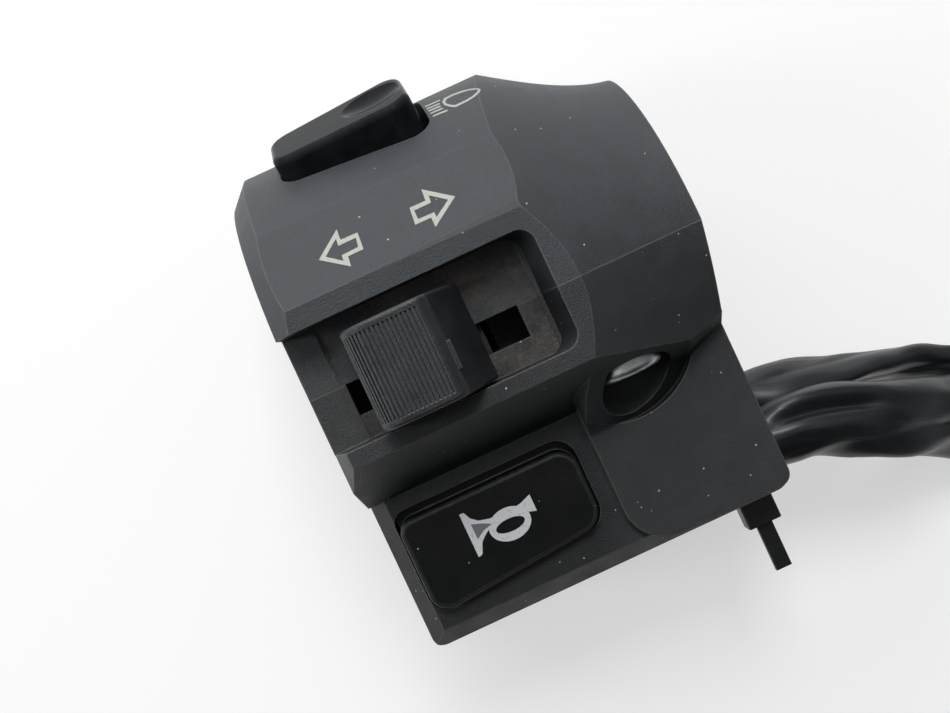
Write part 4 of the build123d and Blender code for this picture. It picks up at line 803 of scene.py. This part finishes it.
sign_ink = paint("sign ink", rgb(176, 178, 170), rgb(96, 98, 96))
horn_ink = paint("horn ink", rgb(214, 216, 220), rgb(120, 122, 126))
horn_shade_ink = paint("horn shade ink", rgb(112, 112, 118), rgb(80, 80, 84))

# %% Turn arrows
on_shell = ("upper_housing", "housing", sign_ink)
on_horn = ("horn_button", "horn_button", horn_ink)
arrow_left_outer = [(-19.03, 15.83), (-15.42, 18.57), (-15.5, 17.06), (-13.12, 16.99),
                    (-13.26, 14.62), (-15.42, 14.62), (-15.56, 13.22)]
arrow_left_inner = [(-18.08, 15.83), (-15.96, 17.47), (-16.05, 16.44), (-13.56, 16.44),
                    (-13.78, 15.16), (-16.13, 15.10), (-16.17, 14.29)]
arrow_right_outer = [(0.12, 15.83), (-3.36, 18.63), (-3.51, 16.99), (-5.75, 17.03),
                     (-6.01, 14.62), (-3.78, 14.62), (-3.8, 13.22)]
arrow_right_inner = [(-0.84, 15.83), (-2.86, 17.47), (-3.0, 16.44), (-5.37, 16.44),
                     (-5.37, 15.16), (-3.14, 15.09), (-3.15, 14.35)]
loop_band("turn_arrow_left", arrow_left_outer, arrow_left_inner, *on_shell)
loop_band("turn_arrow_right", arrow_right_outer, arrow_right_inner, *on_shell)

# %% Beam sign
sign_step = 0.3
beam_rays = [(2.15, 30.17, 4.4, 30.12), (2.15, 29.6, 4.1, 29.49), (2.2, 29.08, 4.0, 29.0),
             (2.25, 28.52, 4.1, 28.43), (2.35, 27.88, 4.5, 27.75)]
ray_half = 0.13
for number, (x_start, y_start, x_end, y_end) in enumerate(beam_rays):
    edges = [finer([(x_start, y_start + side * ray_half), (x_end, y_end + side * ray_half)], sign_step)
             for side in (1, -1)]
    paint_band(f"beam_ray_{number}", *edges, *on_shell)
beam_outer = [(5.02, 30.1), (6.27, 30.12), (7.63, 29.94), (8.75, 29.58), (9.62, 29.12), (9.95, 28.8),
              (9.5, 28.25), (8.55, 27.86), (7.37, 27.68), (5.6, 27.64), (4.95, 28.2), (4.5, 28.88),
              (4.5, 29.6)]
beam_middle = np.mean(beam_outer, axis=0)
beam_inner_shares = (0.86, 0.72)
beam_inner = [tuple(beam_middle + (np.array(point) - beam_middle) * beam_inner_shares)
              for point in beam_outer]
loop_band("beam_lamp", beam_outer, beam_inner, *on_shell)

# %% Horn sign
horn_step = 0.35
ring_rise, mouth_rise, shade_rise = 0.045, 0.055, 0.065
horn_top = finer([(-17.1, -22.62), (-16.65, -22.66), (-16.13, -23.75), (-15.18, -24.49),
                  (-13.82, -24.83), (-11.51, -25.01), (-9.19, -24.77), (-7.42, -24.15)], horn_step)
horn_low = facing_edge(horn_top, [(-17.1, -28.9), (-16.65, -28.86), (-16.0, -27.35), (-15.0, -26.5),
                                  (-14.3, -26.1), (-11.51, -25.94), (-9.0, -26.1), (-7.42, -26.6)])
paint_band("horn_tube", horn_top, horn_low, *on_horn, across=4)
turns = np.linspace(0.0, 2.0 * np.pi, 48, endpoint=False)
horn_ring_outer = np.column_stack([-11.51 + 3.02 * np.cos(turns), -26.67 + 2.29 * np.sin(turns)])
horn_ring_inner = np.column_stack([-11.51 + 2.12 * np.cos(turns), -26.83 + 0.9 * np.sin(turns)])
loop_band("horn_ring", horn_ring_outer, horn_ring_inner, *on_horn, rise=ring_rise)
mouth_edges = [finer([(-17.3, y), (-16.85, y)], sign_step) for y in (-22.62, -28.98)]
paint_band("horn_mouth", *mouth_edges, *on_horn, rise=mouth_rise, across=8)
shade_top = finer([(-16.4, -24.5), (-15.1, -24.95), (-13.8, -25.6)], sign_step)
shade_low = facing_edge(shade_top, [(-16.35, -26.7), (-15.1, -25.95), (-13.8, -25.66)])
paint_band("horn_shade", shade_top, shade_low, *on_horn[:2], horn_shade_ink, rise=shade_rise)
print("signs painted")

# %% [markdown]
# ## Floor and light
# The picture is a plain product shot: a white sheet below and soft light from the far side,
# which skims over the cluster, so faces that lean that way are pale and faces that look at the
# camera stay dark. The floor adds white only where the camera or a mirror sees it.

# %% Floor
floor_glow = 0.54
floor_reach = 2.0
white = (1.0, 1.0, 1.0, 1.0)


def floor_finish():
    """White paper: plain diffuse for light and shade, and a little glow for the rays that come
    from the camera, a mirror or glass."""
    material, tree, shader = new_material("floor paper")
    shader.inputs["Base Color"].default_value = rgb(188, 188, 188)
    shader.inputs["Roughness"].default_value = 0.9
    shader.inputs["Specular IOR Level"].default_value = 0.1
    rays = add(tree, "ShaderNodeLightPath").outputs
    seen = computed(tree, "MAXIMUM", rays["Is Camera Ray"], rays["Is Glossy Ray"])
    seen = computed(tree, "MAXIMUM", seen, rays["Is Transmission Ray"])
    tree.links.new(computed(tree, "MULTIPLY", seen, floor_glow), shader.inputs["Emission Strength"])
    shader.inputs["Emission Color"].default_value = white
    return material


floor_mesh = bpy.data.meshes.new("floor")
floor_corners = [(x * floor_reach, y * floor_reach, floor_height * MM)
                 for x, y in ((-1, -1), (1, -1), (1, 1), (-1, 1))]
floor_mesh.from_pydata(floor_corners, [], [(0, 1, 2, 3)])
floor = bpy.data.objects.new("floor", floor_mesh)
bpy.context.scene.collection.objects.link(floor)
floor_mesh.materials.append(floor_finish())


# %% Lamps and world
def soft_box(name, place, size, power):
    """A rectangular lamp that looks at the cluster: its back is turned away from the origin."""
    lamp = bpy.data.lights.new(name, "AREA")
    lamp.shape = "RECTANGLE"
    lamp.size, lamp.size_y = size
    lamp.energy = power
    holder = bpy.data.objects.new(name, lamp)
    bpy.context.scene.collection.objects.link(holder)
    back = np.array(place, float)
    away = back / np.linalg.norm(back)
    right = np.cross([0.0, 0.0, 1.0], away)
    right /= np.linalg.norm(right)
    matrix = np.eye(4)
    matrix[:3, :3] = np.stack([right, np.cross(away, right), away], axis=1)
    matrix[:3, 3] = back
    holder.matrix_world = Matrix(matrix.tolist())


soft_box("far window", (-0.10, 0.85, 0.36), (1.1, 0.5), 5.5)
soft_box("ceiling window", (0.12, 0.52, 0.80), (0.30, 0.34), 4.0)
soft_box("left window", (-0.75, 0.20, 0.45), (0.14, 0.6), 1.8)


def lit_room():
    """A room that is bright on the far side and overhead and dark towards minus Y. The camera
    itself sees plain white."""
    world = bpy.data.worlds.new("studio")
    bpy.context.scene.world = world
    world.use_nodes = True
    tree = world.node_tree
    tree.nodes.clear()
    near_level, far_level = 0.02, 0.42
    low_share, high_share = 0.35, 1.0
    axes = axes_of(tree, add(tree, "ShaderNodeTexCoord").outputs["Generated"])
    side = laid_out(tree, axes["Y"], -0.40, 0.10, near_level, far_level)
    top = laid_out(tree, axes["Z"], 0.1, 0.95, low_share, high_share)
    room = add(tree, "ShaderNodeBackground", {"Color": white,
               "Strength": computed(tree, "MULTIPLY", side, top)})
    plain = add(tree, "ShaderNodeBackground", {"Color": white, "Strength": 1.0})
    rays = add(tree, "ShaderNodeLightPath")
    blend = add(tree, "ShaderNodeMixShader", {0: rays.outputs["Is Camera Ray"],
                1: room.outputs[0], 2: plain.outputs[0]})
    add(tree, "ShaderNodeOutputWorld", {"Surface": blend.outputs[0]})


lit_room()
